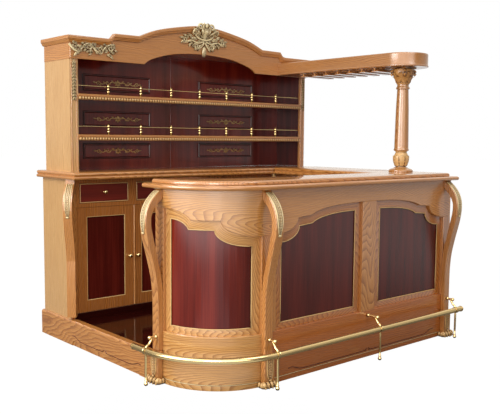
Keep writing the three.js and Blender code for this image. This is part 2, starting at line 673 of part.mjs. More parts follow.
// Head line of the cornice: flats at the ends, a small ogee step, and a broad arch in the middle
function corniceHead(lower) {
  const arch = [[-542, 1977], [-386, 2035], [-140, 2082], [0, 2092], [140, 2082], [386, 2035], [542, 1977]];
  const spline = new THREE.SplineCurve(arch.map(([x, z]) => new THREE.Vector2(x, z)));
  const points = [[-CORNICE_HALF, CORNICE_HEAD], [-776, CORNICE_HEAD], [-752, 1946], [-728, 1975],
    ...spline.getPoints(18).map((p) => [p.x, p.y]),
    [728, 1975], [752, 1946], [776, CORNICE_HEAD], [CORNICE_HALF, CORNICE_HEAD]];
  return points.map(([x, z]) => [HUTCH_MID + x, z - lower]);
}

function addCornice() {
  const arch = [[492, 1800], [428, 1839], [246, 1885], [0, 1900], [-246, 1885], [-428, 1839], [-492, 1800]];
  const spline = new THREE.SplineCurve(arch.map(([x, z]) => new THREE.Vector2(HUTCH_MID + x, z)));
  const left = HUTCH_MID - CORNICE_HALF;
  const right = HUTCH_MID + CORNICE_HALF;
  const board = outline([...corniceHead(0), [right, CORNICE_FOOT],
    ...spline.getPoints(16).map((p) => [p.x, p.y]), [left, CORNICE_FOOT]]);
  const boardBack = HUTCH_FRONT - GAP;
  const crown = CROWN_STEPS.map(([high, proud]) => {
    const shape = outline([...corniceHead(0), ...corniceHead(high).reverse()]);
    return prism('y', shape, CORNICE_FRONT - proud, CORNICE_FRONT + 4);
  });
  add('cornice_front', join(prism('y', board, CORNICE_FRONT, boardBack), ...crown), OAK);

  const [[topHigh, topProud], [midHigh, midProud]] = CROWN_STEPS;
  const profile = [[HUTCH_LEFT - GAP, CORNICE_FOOT], [HUTCH_LEFT - GAP, CORNICE_HEAD],
    [left - topProud, CORNICE_HEAD], [left - topProud, CORNICE_HEAD - topHigh],
    [left - midProud, CORNICE_HEAD - topHigh], [left - midProud, CORNICE_HEAD - midHigh],
    [left, CORNICE_HEAD - midHigh], [left, CORNICE_FOOT]];
  add('cornice_left', prism('y', outline(profile), HUTCH_FRONT, HUTCH_BACK), OAK);
  const flipped = profile.map(([x, z]) => [2 * HUTCH_MID - x, z]);
  add('cornice_right', prism('y', outline(flipped), HUTCH_FRONT, HUTCH_BACK), OAK);
}

function addCanopy() {
  const levels = [[0, 3], [8, 4], [12, 0], [80, 0], [89, -5]];
  const backY = CORNICE_FRONT - GAP;
  const ringAt = (inset) => {
    const points = [[ARM_X + ARM_R + inset, backY], [ARM_X - ARM_R - inset, backY]];
    for (let i = 0; i <= 14; i += 1) {
      const turn = Math.PI + (Math.PI * i) / 14;
      points.push([ARM_X + (ARM_R + inset) * Math.cos(turn), ARM_END_Y + (ARM_R + inset) * Math.sin(turn)]);
    }
    return points;
  };
  const rings = levels.map(([up, inset]) => (
    ringAt(inset).map(([x, y]) => new THREE.Vector3(x, y, ARM_Z + up))
  ));
  add('canopy_arm', loft(rings, ringAt(0)), OAK);

  const foot = SLAB_TOP + GAP;
  const neck = 1690;
  const shaft = [[0, foot], [82, foot], [82, foot + 12], [72, foot + 20], [44, foot + 30], [36, foot + 42],
    [50, foot + 66], [55, foot + 90], [48, foot + 118], [37, foot + 134], [50, foot + 144], [50, foot + 154],
    [48, foot + 166], [38, neck - 34], [45, neck - 28], [45, neck - 16], [39, neck - 8], [39, neck],
    [0, neck]];
  add('column_shaft', turned(shaft, ARM_X, ARM_END_Y), OAK);
  const cap = neck + GAP;
  const bell = turned([[0, cap], [39, cap], [42, cap + 24], [49, cap + 56], [59, cap + 88], [59, cap + 98],
    [0, cap + 98]], ARM_X, ARM_END_Y);
  const half = 62;
  const abacus = box(ARM_X - half, ARM_X + half, ARM_END_Y - half, ARM_END_Y + half, cap + 90, ARM_Z - GAP);
  add('column_capital', join(bell, abacus), BRASS);
}

// Hanging glass rack: T rails across the arm, on two battens
function addGlassRack() {
  const ceiling = ARM_Z - GAP;
  const reach = ARM_R - 12;
  const lastY = RACK_FIRST_Y + (RACK_RAILS - 1) * RACK_PITCH;
  const pieces = [-90, 90].map((x) => box(ARM_X + x - 15, ARM_X + x + 15, RACK_FIRST_Y - 30, lastY + 30,
    ceiling - 6, ceiling));
  for (let i = 0; i < RACK_RAILS; i += 1) {
    const y = RACK_FIRST_Y + i * RACK_PITCH;
    const tee = outline([[y - 27, ceiling - 26], [y + 27, ceiling - 26], [y + 27, ceiling - 20],
      [y + 6, ceiling - 20], [y + 6, ceiling - 4], [y - 6, ceiling - 4], [y - 6, ceiling - 20],
      [y - 27, ceiling - 20]]);
    pieces.push(prism('x', tee, ARM_X - reach, ARM_X + reach));
  }
  add('glass_rack', join(...pieces), OAK);
}

addPlatform();
addFrontBar();
addFrontCounter();
addLegs();
addFootrail();
addReturn();
addCabinet();
addCorbel();
addHutch();
addCornice();
addCanopy();
addGlassRack();

// The bar stands on the floor with the middle of its outline over the origin
const extent = new THREE.Box3().setFromObject(bar);
const middle = extent.getCenter(new THREE.Vector3());
bar.position.set(-middle.x, -middle.y, 0);

export default bar;
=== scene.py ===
"""A corner home bar in honey oak, mahogany, brass and gilt carving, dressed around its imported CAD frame."""
import math

import bpy
from mathutils import Matrix, Vector


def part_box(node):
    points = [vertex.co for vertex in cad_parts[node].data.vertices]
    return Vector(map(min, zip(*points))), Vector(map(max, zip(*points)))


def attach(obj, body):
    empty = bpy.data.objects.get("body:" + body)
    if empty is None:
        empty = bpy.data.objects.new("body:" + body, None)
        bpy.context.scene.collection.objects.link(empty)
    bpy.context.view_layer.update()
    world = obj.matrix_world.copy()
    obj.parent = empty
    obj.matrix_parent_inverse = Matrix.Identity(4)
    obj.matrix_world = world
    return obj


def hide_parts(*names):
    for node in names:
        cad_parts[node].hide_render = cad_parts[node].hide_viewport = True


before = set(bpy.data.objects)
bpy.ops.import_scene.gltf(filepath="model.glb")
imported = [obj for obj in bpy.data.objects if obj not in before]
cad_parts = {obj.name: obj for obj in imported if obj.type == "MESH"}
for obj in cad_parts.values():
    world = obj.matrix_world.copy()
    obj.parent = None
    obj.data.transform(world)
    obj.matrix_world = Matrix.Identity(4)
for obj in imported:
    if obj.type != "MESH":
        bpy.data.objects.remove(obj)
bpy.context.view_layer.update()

MM = 0.001
GAP = 0.3
FACE_R = 388
BOARD_BACK = 350
CORNER_RUN = FACE_R * math.pi / 2
UP = Vector((0, 0, 1))
FORWARD = Vector((0, -1, 0))

# Sizes are millimetres from the rounded corner's centre: x along the front, y to the back, z up, r outward.
flat_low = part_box("front_frame_flat")[0]
corner = Vector((flat_low.x - GAP * MM, flat_low.y + FACE_R * MM, 0))


def at(x, y, z):
    """A point in the frame's metres, from millimetres off the rounded corner's centre."""
    return corner + Vector((x, y, z)) * MM


def across(y, z, x):
    """The same point, for an outline of (y, z) that runs along x."""
    return at(x, y, z)


def colour(text):
    """A linear colour from an sRGB hex."""
    parts = [int(text[i:i + 2], 16) / 255 for i in (1, 3, 5)]
    return [c / 12.92 if c <= 0.04045 else ((c + 0.055) / 1.055) ** 2.4 for c in parts] + [1]


def put(tree, kind, inputs=None, marks=(), **settings):
    """Adds one node with its settings, sets or links its inputs, and sets a ramp's (place, hex) marks."""
    node = tree.nodes.new(kind)
    for key, value in settings.items():
        setattr(node, key, value)
    for key, value in (inputs or {}).items():
        if isinstance(value, bpy.types.NodeSocket):
            tree.links.new(value, node.inputs[key])
        else:
            node.inputs[key].default_value = value
    for _ in marks[2:]:
        node.color_ramp.elements.new(0.5)
    for i, (place, tone) in enumerate(marks):
        node.color_ramp.elements[i].position = place
        node.color_ramp.elements[i].color = colour(tone)
    return node


def blank(name):
    """A new material with an empty tree."""
    material = bpy.data.materials.new(name)
    material.use_nodes = True
    material.node_tree.nodes.clear()
    return material, material.node_tree


def marks_of(long, wide):
    """The scale of a pattern whose marks are long millimetres along the grain and wide across it."""
    return (1 / (long * MM), 1 / (wide * MM), 1 / (wide * MM))


TURN = {"X": (0, 0, 0), "Y": (0, 0, -math.pi / 2), "Z": (0, math.pi / 2, 0)}


def grain_place(tree, along, shift):
    """Coordinates in metres with the grain running along X, from the piece itself or its stored grain."""
    if along == "swept":
        source = put(tree, "ShaderNodeAttribute", attribute_name="grain").outputs["Vector"]
        turn = (0, 0, 0)
    else:
        source = put(tree, "ShaderNodeTexCoord").outputs["Object"]
        turn = TURN[along]
    turned_grain = put(tree, "ShaderNodeMapping", {"Vector": source, "Rotation": turn})
    moved = put(tree, "ShaderNodeMapping", {"Vector": turned_grain.outputs["Vector"], "Location": shift})
    return moved.outputs["Vector"]


LACQUER_IOR = 1.5
LACQUER_FILM, POLISHED_FILM = 0.2, 0.09
WANDER = marks_of(625, 166.6667)
WANDER_REACH = (0, 80 * MM, 80 * MM)
RING_GAP = 7.854
# A wave texture turns by 20 radians times its scale in a metre.
RING_SCALE = 2 * math.pi / (20 * RING_GAP * MM)
RING_LEAN = (0, 0.17, 0.13)
# Oak pores are about 0.3 mm wide. They are drawn 7 mm wide, because finer ones would not show.
PORE = marks_of(200, 6.66667)
PORE_DEEP = 0.3 * MM
# Half the width of the blend into the painted shade past the corner, in millimetres.
SHADE_BLEND_HALF = 10


def honey_oak(name, along, shift, tones, film=LACQUER_FILM, front_shade=None):
    """Lacquered oak: nested flames from growth rings about 8 mm apart, and short dark pores under a film.

    Boards that go round the corner may be darker and redder past it, on the front: painted shade where the
    front faces away from the light, blended in behind the middle leg.
    """
    material, tree = blank(name)
    place = grain_place(tree, along, shift)
    drift = put(tree, "ShaderNodeMapping", {"Vector": place, "Scale": WANDER})
    wander = put(tree, "ShaderNodeTexNoise", {"Vector": drift.outputs["Vector"], "Scale": 1, "Detail": 2})
    offset = put(tree, "ShaderNodeVectorMath", {0: wander.outputs["Color"], 1: WANDER_REACH},
                 operation="MULTIPLY")
    warped = put(tree, "ShaderNodeVectorMath", {0: place, 1: offset.outputs["Vector"]}, operation="ADD")
    leaned = put(tree, "ShaderNodeMapping", {"Vector": warped.outputs["Vector"], "Rotation": RING_LEAN})
    rings = put(tree, "ShaderNodeTexWave",
                {"Vector": leaned.outputs["Vector"], "Scale": RING_SCALE, "Distortion": 1.1,
                 "Detail": 2, "Detail Scale": 1.5},
                wave_type="RINGS", rings_direction="X", wave_profile="SAW")
    figure = put(tree, "ShaderNodeValToRGB", {"Fac": rings.outputs["Fac"]},
                 ((0, tones[0]), (0.6, tones[1]), (0.94, tones[2]), (1, tones[1])))
    pores = put(tree, "ShaderNodeMapping", {"Vector": place, "Scale": PORE})
    specks = put(tree, "ShaderNodeTexNoise", {"Vector": pores.outputs["Vector"], "Scale": 1, "Detail": 2})
    dark = put(tree, "ShaderNodeMapRange", {"Value": specks.outputs["Fac"], "From Min": 0.5, "From Max": 0.75,
                                            "To Min": 0, "To Max": 0.6})
    tone = put(tree, "ShaderNodeMix", {"Factor": dark.outputs["Result"], "A": figure.outputs["Color"],
                                       "B": colour(tones[2])}, data_type="RGBA")
    # Past the corner the tone is multiplied darker and redder: painted shade on the front, which faces away
    # from the light.
    if front_shade:
        run = put(tree, "ShaderNodeSeparateXYZ", {0: place})
        past = put(tree, "ShaderNodeMapRange", {"Value": run.outputs["X"],
                                                "From Min": (CORNER_RUN - SHADE_BLEND_HALF) * MM,
                                                "From Max": (CORNER_RUN + SHADE_BLEND_HALF) * MM})
        tone = put(tree, "ShaderNodeMix", {"Factor": past.outputs["Result"], "A": tone.outputs["Result"],
                                           "B": colour(front_shade)}, data_type="RGBA", blend_type="MULTIPLY")
    rough = put(tree, "ShaderNodeMapRange", {"Value": specks.outputs["Fac"], "To Min": 0.2, "To Max": 0.38})
    bump = put(tree, "ShaderNodeBump", {"Height": specks.outputs["Fac"], "Strength": 0.1,
                                        "Distance": PORE_DEEP})
    shader = put(tree, "ShaderNodeBsdfPrincipled",
                 {"Base Color": tone.outputs["Result"], "Roughness": rough.outputs["Result"],
                  "IOR": LACQUER_IOR, "Coat Weight": 1.0, "Coat Roughness": film,
                  "Normal": bump.outputs["Normal"]})
    put(tree, "ShaderNodeOutputMaterial", {"Surface": shader.outputs["BSDF"]})
    return material


RIBBON = marks_of(1111.111, 71.42857)
# Mahogany's fibres are finer than the render shows, so they are drawn 4 mm wide.
FIBRE = marks_of(250, 3.846154)
PAINTED_SHADE_RED = "#330a06"


def red_mahogany(name, along, shift, tones, rough, shade_span=None, shine=0.5):
    """French-polished mahogany: dark red ribbon figure under a mirror-like film; shade_span is the span of x
    where painted shade darkens it.
    """
    material, tree = blank(name)
    place = grain_place(tree, along, shift)
    ribbon = put(tree, "ShaderNodeMapping", {"Vector": place, "Scale": RIBBON})
    bands = put(tree, "ShaderNodeTexNoise", {"Vector": ribbon.outputs["Vector"], "Scale": 1, "Detail": 3})
    fibre = put(tree, "ShaderNodeMapping", {"Vector": place, "Scale": FIBRE})
    lines = put(tree, "ShaderNodeTexNoise", {"Vector": fibre.outputs["Vector"], "Scale": 1, "Detail": 2})
    both = put(tree, "ShaderNodeMix", {"Factor": 0.35, "A": bands.outputs["Fac"], "B": lines.outputs["Fac"]})
    figure = put(tree, "ShaderNodeValToRGB", {"Fac": both.outputs["Result"]},
                 ((0.34, tones[0]), (0.5, tones[1]), (0.66, tones[2])))
    tone = figure.outputs["Color"]
    # Painted shade: the tone darkens towards the right of the rounded panel, away from the light.
    if shade_span:
        side = put(tree, "ShaderNodeSeparateXYZ", {0: put(tree, "ShaderNodeTexCoord").outputs["Object"]})
        share = put(tree, "ShaderNodeMapRange", {"Value": side.outputs["X"], "From Min": shade_span[0],
                                                 "From Max": shade_span[1], "To Max": 0.75})
        darker = put(tree, "ShaderNodeMix", {"Factor": share.outputs["Result"], "A": tone,
                                             "B": colour(PAINTED_SHADE_RED)}, data_type="RGBA")
        tone = darker.outputs["Result"]
    shader = put(tree, "ShaderNodeBsdfPrincipled", {"Base Color": tone, "Roughness": rough,
                                                    "IOR": LACQUER_IOR, "Specular IOR Level": shine})
    put(tree, "ShaderNodeOutputMaterial", {"Surface": shader.outputs["BSDF"]})
    return material


MOTTLE = 11.1111
HOLLOW = 14


def metal(name, bright, dull, rough, metallic=1.0):
    """Brass, or gilt paint when not metallic: brown in the hollows, bright where raised, lightly mottled. The
    brown in the hollows is painted shade, and on the gilt it also stands for antique toning.
    """
    material, tree = blank(name)
    place = put(tree, "ShaderNodeTexCoord").outputs["Object"]
    mottle = put(tree, "ShaderNodeTexNoise", {"Vector": place, "Scale": 1 / (MOTTLE * MM), "Detail": 3})
    # Ambient occlusion finds the hollows, which are painted brown: painted shade.
    hollow = put(tree, "ShaderNodeAmbientOcclusion", {"Distance": HOLLOW * MM}, samples=8)
    out_of_hollows = put(tree, "ShaderNodeMapRange", {"Value": hollow.outputs["AO"], "From Min": 0.5, "From Max": 1.0})
    tone = put(tree, "ShaderNodeMix", {"Factor": out_of_hollows.outputs["Result"], "A": colour(dull),
                                       "B": colour(bright)}, data_type="RGBA")
    gloss = put(tree, "ShaderNodeMapRange", {"Value": mottle.outputs["Fac"], "To Min": rough * 0.75,
                                             "To Max": rough * 1.25})
    shader = put(tree, "ShaderNodeBsdfPrincipled",
                 {"Base Color": tone.outputs["Result"], "Metallic": metallic,
                  "Roughness": gloss.outputs["Result"]})
    put(tree, "ShaderNodeOutputMaterial", {"Surface": shader.outputs["BSDF"]})
    return material


OAK_TONES = ("#c98e4e", "#b97a3c", "#915724")
# Darker tones for the cabinet front, under the counter and behind the bar: painted shade.
SHADE_TONES = ("#ba7a40", "#a8662f", "#774117")
PALE_TONES = ("#d6ad76", "#ca9d64", "#a4733d")
# Paler tones for the corner's frame and base: the oak's colour with painted sheen where the corner catches
# the light.
CORNER_SHEEN_TONES = ("#d4a364", "#c38d4e", "#986430")
# Darker tones for the flat front's frames: the oak's colour with painted shade, as the front faces away from
# the light.
FRONT_SHADE_TONES = ("#b97838", "#aa672a", "#844817")
# The frieze's tones are a little paler than plain oak: painted sheen for its part on the corner.
FRIEZE_TONES = ("#cd9a5a", "#bd8546", "#955e2b")
ARM_TONES = ("#b58046", "#a86e35", "#834e20")
TURNED_TONES = ("#bd8a52", "#ae773e", "#885524")
RED_TONES = ("#4f110b", "#651a11", "#7a2517")
DEEP_TONES = ("#390d09", "#4d140e", "#611d14")
DECK_TONES = ("#1e0604", "#2b0a07", "#3a110b")
HUTCH_TONES = ("#5a150d", "#742016", "#8a2c1c")

# Each board is cut from its own place in the log, in metres.
UPRIGHT_CUT = (0.1, 0.14, 0.31)
SWEPT_CUT = (0.0, -0.085, -0.3)
RED_CUT = (0.2, 0.1, 0.1)
# Where painted shade darkens the rounded panel towards its right, away from the light, in metres of x.
ROUND_SHADE_SPAN = (corner.x - 0.25, corner.x - 0.06)

oak_x = honey_oak("honey oak, grain along the bar", "X", (0.3, 0.02, -0.11), OAK_TONES)
oak_y = honey_oak("honey oak, grain front to back", "Y", (0.7, 0.36, -0.02), OAK_TONES)
oak_plinth = honey_oak("honey oak of the plinth", "Y", (0.7, 0.36, 0.5), OAK_TONES)
oak_z = honey_oak("honey oak, upright grain", "Z", UPRIGHT_CUT, OAK_TONES)
oak_pale = honey_oak("pale oak, upright grain", "Z", (0.4, 0.21, 0.17), PALE_TONES)
oak_swept = honey_oak("honey oak, grain round the corner", "swept", SWEPT_CUT, OAK_TONES)
oak_frieze = honey_oak("honey oak of the frieze", "swept", SWEPT_CUT, FRIEZE_TONES, front_shade="#fff0d2")
oak_base = honey_oak("honey oak of the base boards", "swept", SWEPT_CUT, CORNER_SHEEN_TONES, front_shade="#e6b78f")
oak_corner = honey_oak("honey oak of the corner frame, paler with painted sheen", "swept", SWEPT_CUT, CORNER_SHEEN_TONES)
oak_front = honey_oak("honey oak of the front frames, darker with painted shade", "swept", SWEPT_CUT, FRONT_SHADE_TONES)
oak_arm = honey_oak("honey oak of the canopy", "swept", SWEPT_CUT, ARM_TONES)
oak_turned = honey_oak("honey oak of the column", "Z", UPRIGHT_CUT, TURNED_TONES)
oak_top = honey_oak("polished oak counter top", "X", (0.9, 0.1, -0.98), OAK_TONES, POLISHED_FILM)
oak_return = honey_oak("polished oak return top", "Y", (0.9, 1.3, -0.98), OAK_TONES, POLISHED_FILM)
oak_inner = honey_oak("oak of the cabinet front, darker with painted shade", "Z", UPRIGHT_CUT, SHADE_TONES)
mahogany_z = red_mahogany("mahogany, upright grain", "Z", RED_CUT, HUTCH_TONES, 0.16)
mahogany_deep = red_mahogany("deep mahogany, upright grain", "Z", (0.5, 0.3, 0.2), DEEP_TONES, 0.22)
# The flat front panels take the darker deep tones: painted shade, as they face away from the light.
mahogany_front_shaded = red_mahogany("mahogany of the front panels, darker with painted shade", "Z", (0.6, 0.1, 0.3), DEEP_TONES, 0.26)
mahogany_round = red_mahogany("veneer of the rounded panel, darker to its right", "Z", RED_CUT, RED_TONES,
                              0.16, shade_span=ROUND_SHADE_SPAN)
mahogany_x = red_mahogany("deep mahogany, level grain", "X", RED_CUT, DEEP_TONES, 0.08)
mahogany_deck = red_mahogany("waxed mahogany platform", "X", RED_CUT, DECK_TONES, 0.1, shine=0.2)
mahogany_satin = red_mahogany("satin mahogany, level grain", "X", (0.1, 0.2, 0.1), RED_TONES, 0.38)
brass = metal("polished brass", "#d9c08a", "#7d5f2c", 0.17)
gilding = metal("antique gilt paint", "#e6d5a6", "#5b3a17", 0.34, 0.0)
gilt_wood = metal("gilt rubbed into carved oak", "#d6ae72", "#57310f", 0.34, 0.0)
gilt_leaf = metal("gilt on the scrolls", "#dcc592", "#452709", 0.36, 0.0)
gilt_oak = metal("carved oak with a little gilt", "#c48f50", "#5a3212", 0.34, 0.0)


def piece(name, shape, finish, body="carcass", stands_for=(), bevel=0, sharp=35, grain=None):
    """Makes one piece from a shape's points and faces, with its finish, its rounded edges and its body."""
    points, faces = shape
    mesh = bpy.data.meshes.new(name)
    mesh.from_pydata([tuple(p) for p in points], [], faces)
    mesh.validate()
    if grain:
        stored = mesh.attributes.new("grain", "FLOAT_VECTOR", "POINT")
        stored.data.foreach_set("vector", [c * MM for g in grain for c in g])
    for polygon in mesh.polygons:
        polygon.use_smooth = True
    mesh.set_sharp_from_angle(angle=math.radians(sharp))
    shown = bpy.data.objects.new(name, mesh)
    bpy.context.scene.collection.objects.link(shown)
    mesh.materials.append(finish)
    if bevel:
        edge = shown.modifiers.new("rounded edges", "BEVEL")
        edge.width = bevel * MM
        edge.segments = 3
        edge.limit_method = "ANGLE"
        edge.angle_limit = math.radians(sharp)
        edge.use_clamp_overlap = True
    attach(shown, body)
    if stands_for:
        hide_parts(*stands_for)
    return shown


def skin(sections, closed=True, capped=True):
    """Points and faces of a surface through equal sections; closed joins each section's ends."""
    count = len(sections[0])
    points = [p for section in sections for p in section]
    faces = []
    for i in range(len(sections) - 1):
        for j in range(count if closed else count - 1):
            k = (j + 1) % count
            faces.append((i * count + j, (i + 1) * count + j, (i + 1) * count + k, i * count + k))
    if capped:
        faces.append(tuple(range(count)))
        faces.append(tuple(reversed(range(len(points) - count, len(points)))))
    return points, faces


def drawn(outline, ends, place):
    """A straight length of an outline of pairs; place gives the point of a pair at an end."""
    return skin([[place(p, q, end) for p, q in outline] for end in ends])


def merged(parts):
    """Several shapes as one."""
    points = []
    faces = []
    for more, sides in parts:
        faces += [tuple(i + len(points) for i in side) for side in sides]
        points += more
    return points, faces


def curve_through(marks, steps):
    """Points of a smooth curve through the marks."""
    ends = [marks[0]] + list(marks) + [marks[-1]]
    line = []
    for i in range(1, len(ends) - 2):
        p, q, r, s = ends[i - 1:i + 3]
        for k in range(steps):
            t = k / steps
            line.append([0.5 * (2 * b + (c - a) * t + (2 * a - 5 * b + 4 * c - d) * t * t
                                + (3 * b - a - 3 * c + d) * t ** 3) for a, b, c, d in zip(p, q, r, s)])
    line.append(list(marks[-1]))
    return line


def quarter(steps):
    """The (cosine, sine) pairs of a quarter turn."""
    turns = [math.pi / 2 * i / steps for i in range(steps + 1)]
    return [(math.cos(turn), math.sin(turn)) for turn in turns]


def along_bar(left, right, steps=40):
    """Stations round the bar's face: foot on the corner's centre line, outward direction, distance along."""
    rows = [((0, left), (-1, 0), -left)]
    for i, (c, s) in enumerate(quarter(steps)):
        rows.append(((0, 0), (-c, -s), FACE_R * (math.pi / 2 * i / steps)))
    rows.append(((right, 0), (0, -1), CORNER_RUN + right))
    return rows


def spot(station, r, z):
    """A point r millimetres out from a station, z up."""
    (x, y), (ox, oy), _ = station
    return at(x + ox * r, y + oy * r, z)


def swept(name, outline, left, right, finish, level=0, **more):
    """A moulding whose (r, z) outline runs round the corner and along the front; level raises its figure."""
    rows = along_bar(left, right)
    grain = [(row[2], z - level, r) for row in rows for r, z in outline]
    shape = skin([[spot(row, r, z) for r, z in outline] for row in rows])
    return piece(name, shape, finish, grain=grain, **more)


def ring(middle, u, v, radius, count):
    """A ring of points round a middle, in the plane of two directions."""
    turns = [2 * math.pi * k / count for k in range(count)]
    size = radius * MM
    return [middle + u * (size * math.cos(turn)) + v * (size * math.sin(turn)) for turn in turns]


def tube(line, radius, count=16):
    """A round bar through points; the radius may change along it."""
    sections = []
    for i, p in enumerate(line):
        way = (line[min(i + 1, len(line) - 1)] - line[max(i - 1, 0)]).normalized()
        side = way.cross(UP)
        side = side.normalized() if side.length > 0.05 else Vector((1, 0, 0))
        size = radius[i] if isinstance(radius, (list, tuple)) else radius
        sections.append(ring(p, side, side.cross(way).normalized(), size, count))
    return skin(sections)


def turned(outline, middle, up=UP, count=32, lobes=None):
    """A turned piece: (radius, height) pairs about a middle; lobes may swell the radius round it."""
    u = up.orthogonal().normalized()
    v = up.cross(u)
    sections = []
    for r, h in outline:
        row = []
        for k in range(count):
            turn = 2 * math.pi * k / count
            size = max(r, 0.05) * (lobes(turn, h) if lobes else 1) * MM
            row.append(middle + up * h * MM + u * size * math.cos(turn) + v * size * math.sin(turn))
        sections.append(row)
    return skin(sections)


def ball(middle, radius, rings=12):
    """A round knob."""
    turns = [math.pi * i / rings for i in range(rings + 1)]
    return turned([(radius * math.sin(turn), -radius * math.cos(turn)) for turn in turns], middle, count=20)


def unit_ball(rings, count):
    """Rows of points on a ball of radius 1, all but closed at its poles."""
    rows = []
    for i in range(rings + 1):
        wide = max(math.sin(math.pi * i / rings), 0.02)
        turns = [2 * math.pi * j / count for j in range(count)]
        rows.append([(wide * math.cos(turn), wide * math.sin(turn), -math.cos(math.pi * i / rings))
                     for turn in turns])
    return rows


UNIT_BALL = unit_ball(10, 16)
SMALL_BALL = unit_ball(6, 10)


def lump(point, middle, size, rows=UNIT_BALL):
    """A rounded lump about a middle, with a half size in each direction."""
    return skin([[point(*(m + s * c for m, s, c in zip(middle, size, unit))) for unit in row]
                 for row in rows])


SCALLOP_STEPS, SHOULDER_STEPS = 14, 4
SIDE_STEPS, FOOT_STEPS = 8, 24


def scallop(high, shoulder, ear, low):
    """A frame's shaped head from its high end to its low end: a long dip, a short flat and a rounded ear."""
    run, drop = shoulder[0] - high[0], high[1] - shoulder[1]
    marks = (high, (high[0] + 0.55 * run, high[1]), (shoulder[0] - 0.1 * run, high[1] - 0.45 * drop),
             shoulder)
    line = []
    for i in range(SCALLOP_STEPS + 1):
        t = i / SCALLOP_STEPS
        parts = ((1 - t) ** 3, 3 * t * (1 - t) ** 2, 3 * t * t * (1 - t), t ** 3)
        line.append([sum(part * mark[k] for part, mark in zip(parts, marks)) for k in (0, 1)])
    for i in range(1, SHOULDER_STEPS + 1):
        line.append([a + (b - a) * i / SHOULDER_STEPS for a, b in zip(shoulder, ear)])
    for i in range(1, SCALLOP_STEPS + 1):
        turn = math.pi / 2 * (1 - i / SCALLOP_STEPS)
        line.append([low[0] + (ear[0] - low[0]) * math.sin(turn),
                     ear[1] + (low[1] - ear[1]) * math.cos(turn)])
    return line


def loop(head, foot):
    """The whole outline of a framed panel: its shaped head, its low side, its foot and up again."""
    (high, top), (low, end) = head[0], head[-1]
    down = [[low, end + (foot - end) * i / SIDE_STEPS] for i in range(1, SIDE_STEPS)]
    level = [[low + (high - low) * i / FOOT_STEPS, foot] for i in range(FOOT_STEPS + 1)]
    back_up = [[high, foot + (top - foot) * i / SIDE_STEPS] for i in range(1, SIDE_STEPS + 1)]
    return head + down + level + back_up


def hoop(loops):
    """A moulding round a loop, whose corner lines are the given lines."""
    points, faces = skin(loops + [loops[0]], closed=False, capped=False)
    count = len(loops[0])
    return points[:-count], [tuple(i % (count * len(loops)) for i in side) for side in faces]


def on_front(s, r, z):
    """A place on the flat front: s along it, r out from the corner's centre line."""
    return at(s, -r, z)


def on_corner(s, r, z):
    """A place on the rounded corner: s in degrees from the left end."""
    turn = math.radians(s)
    return at(-r * math.cos(turn), -r * math.sin(turn), z)


BODY_FOOT, BODY_TOP = 162.3, 1051.7
BODY_LEFT, BODY_RIGHT = 70, 1683
FRAME_FOOT, PANEL_FOOT = 284, 322
HEAD_TOP, CORNER_LOW, FRONT_LOW = 950, 807, 808
STILE_X, STILE_LEFT = 842, 780
POST_TURN, POST_X = 86, 77
FRIEZE_START = 60
FRIEZE_LEVEL, LOWER_LEVEL = 900, 150
CURVED_HEAD = ((7, 895), (25, 845), (47, 845), (78, 758))
CURVED_FRAME = ((0.5, HEAD_TOP), (28, 894), (52, 894), (POST_TURN, CORNER_LOW))
FLAT_HEAD = ((728, 902), (367, 851), (263, 842), (125, 762))
FLAT_FRAME = ((STILE_LEFT, HEAD_TOP), (345, 898), (240, 890), (POST_X, FRONT_LOW))
# The frame's section: how far in from its outer edge, and how far out.
FRAME_STEPS = ((0, 352), (0, 370.6), (0.03, 371.2), (0.08, 371), (0.9, 371), (0.96, 370.4), (1, 368),
               (1, 352))
FRAME_BEAD_R, FRAME_BEAD = 370, 3.2
# The frame's figure: where it starts, and how far it goes across the frame.
FRAME_FIGURE, FRAME_WIDE = 60, 45
POST_LEFT_END = -3


def mirrored(head):
    """A frame's head on the other side of the centre stile."""
    return [(2 * STILE_X - s, z) for s, z in head]


def bar_edge(low, high):
    """The (r, z) outline of a board on the bar's face."""
    return ((BOARD_BACK, low), (FACE_R, low), (FACE_R, high), (BOARD_BACK, high))


def post(name, place, s_from, s_to, high, steps=1):
    """An upright board on the bar's face, beside the frames."""
    sections = []
    for i in range(steps + 1):
        s = s_from + (s_to - s_from) * i / steps
        sections.append([place(s, r, z) for r, z in bar_edge(FRAME_FOOT, high)])
    piece(name, skin(sections), oak_z, bevel=1.5)


def frieze(curved, left, right):
    """The frieze round the bar, whose lower edge is cut to the heads of the three frames."""
    rows = [(((0, BODY_LEFT), (-1, 0), -BODY_LEFT), HEAD_TOP)]
    for s, z in [(0, HEAD_TOP)] + curved + [(90, CORNER_LOW)]:
        turn = math.radians(s)
        rows.append((((0, 0), (-math.cos(turn), -math.sin(turn)), FACE_R * turn), z))
    for s, z in [(FRIEZE_START, FRONT_LOW)] + left[::-1] + right + [(BODY_RIGHT, FRONT_LOW)]:
        rows.append((((s, 0), (0, -1), CORNER_RUN + s), z))
    sections = []
    grain = []
    for row, low in rows:
        sections.append([spot(row, r, z) for r, z in bar_edge(low, BODY_TOP)])
        grain += [(row[2], z - FRIEZE_LEVEL, r) for r, z in bar_edge(low, BODY_TOP)]
    piece("frieze", skin(sections), oak_frieze, grain=grain, bevel=2.5,
          stands_for=("front_frame_curved", "front_frame_flat"))


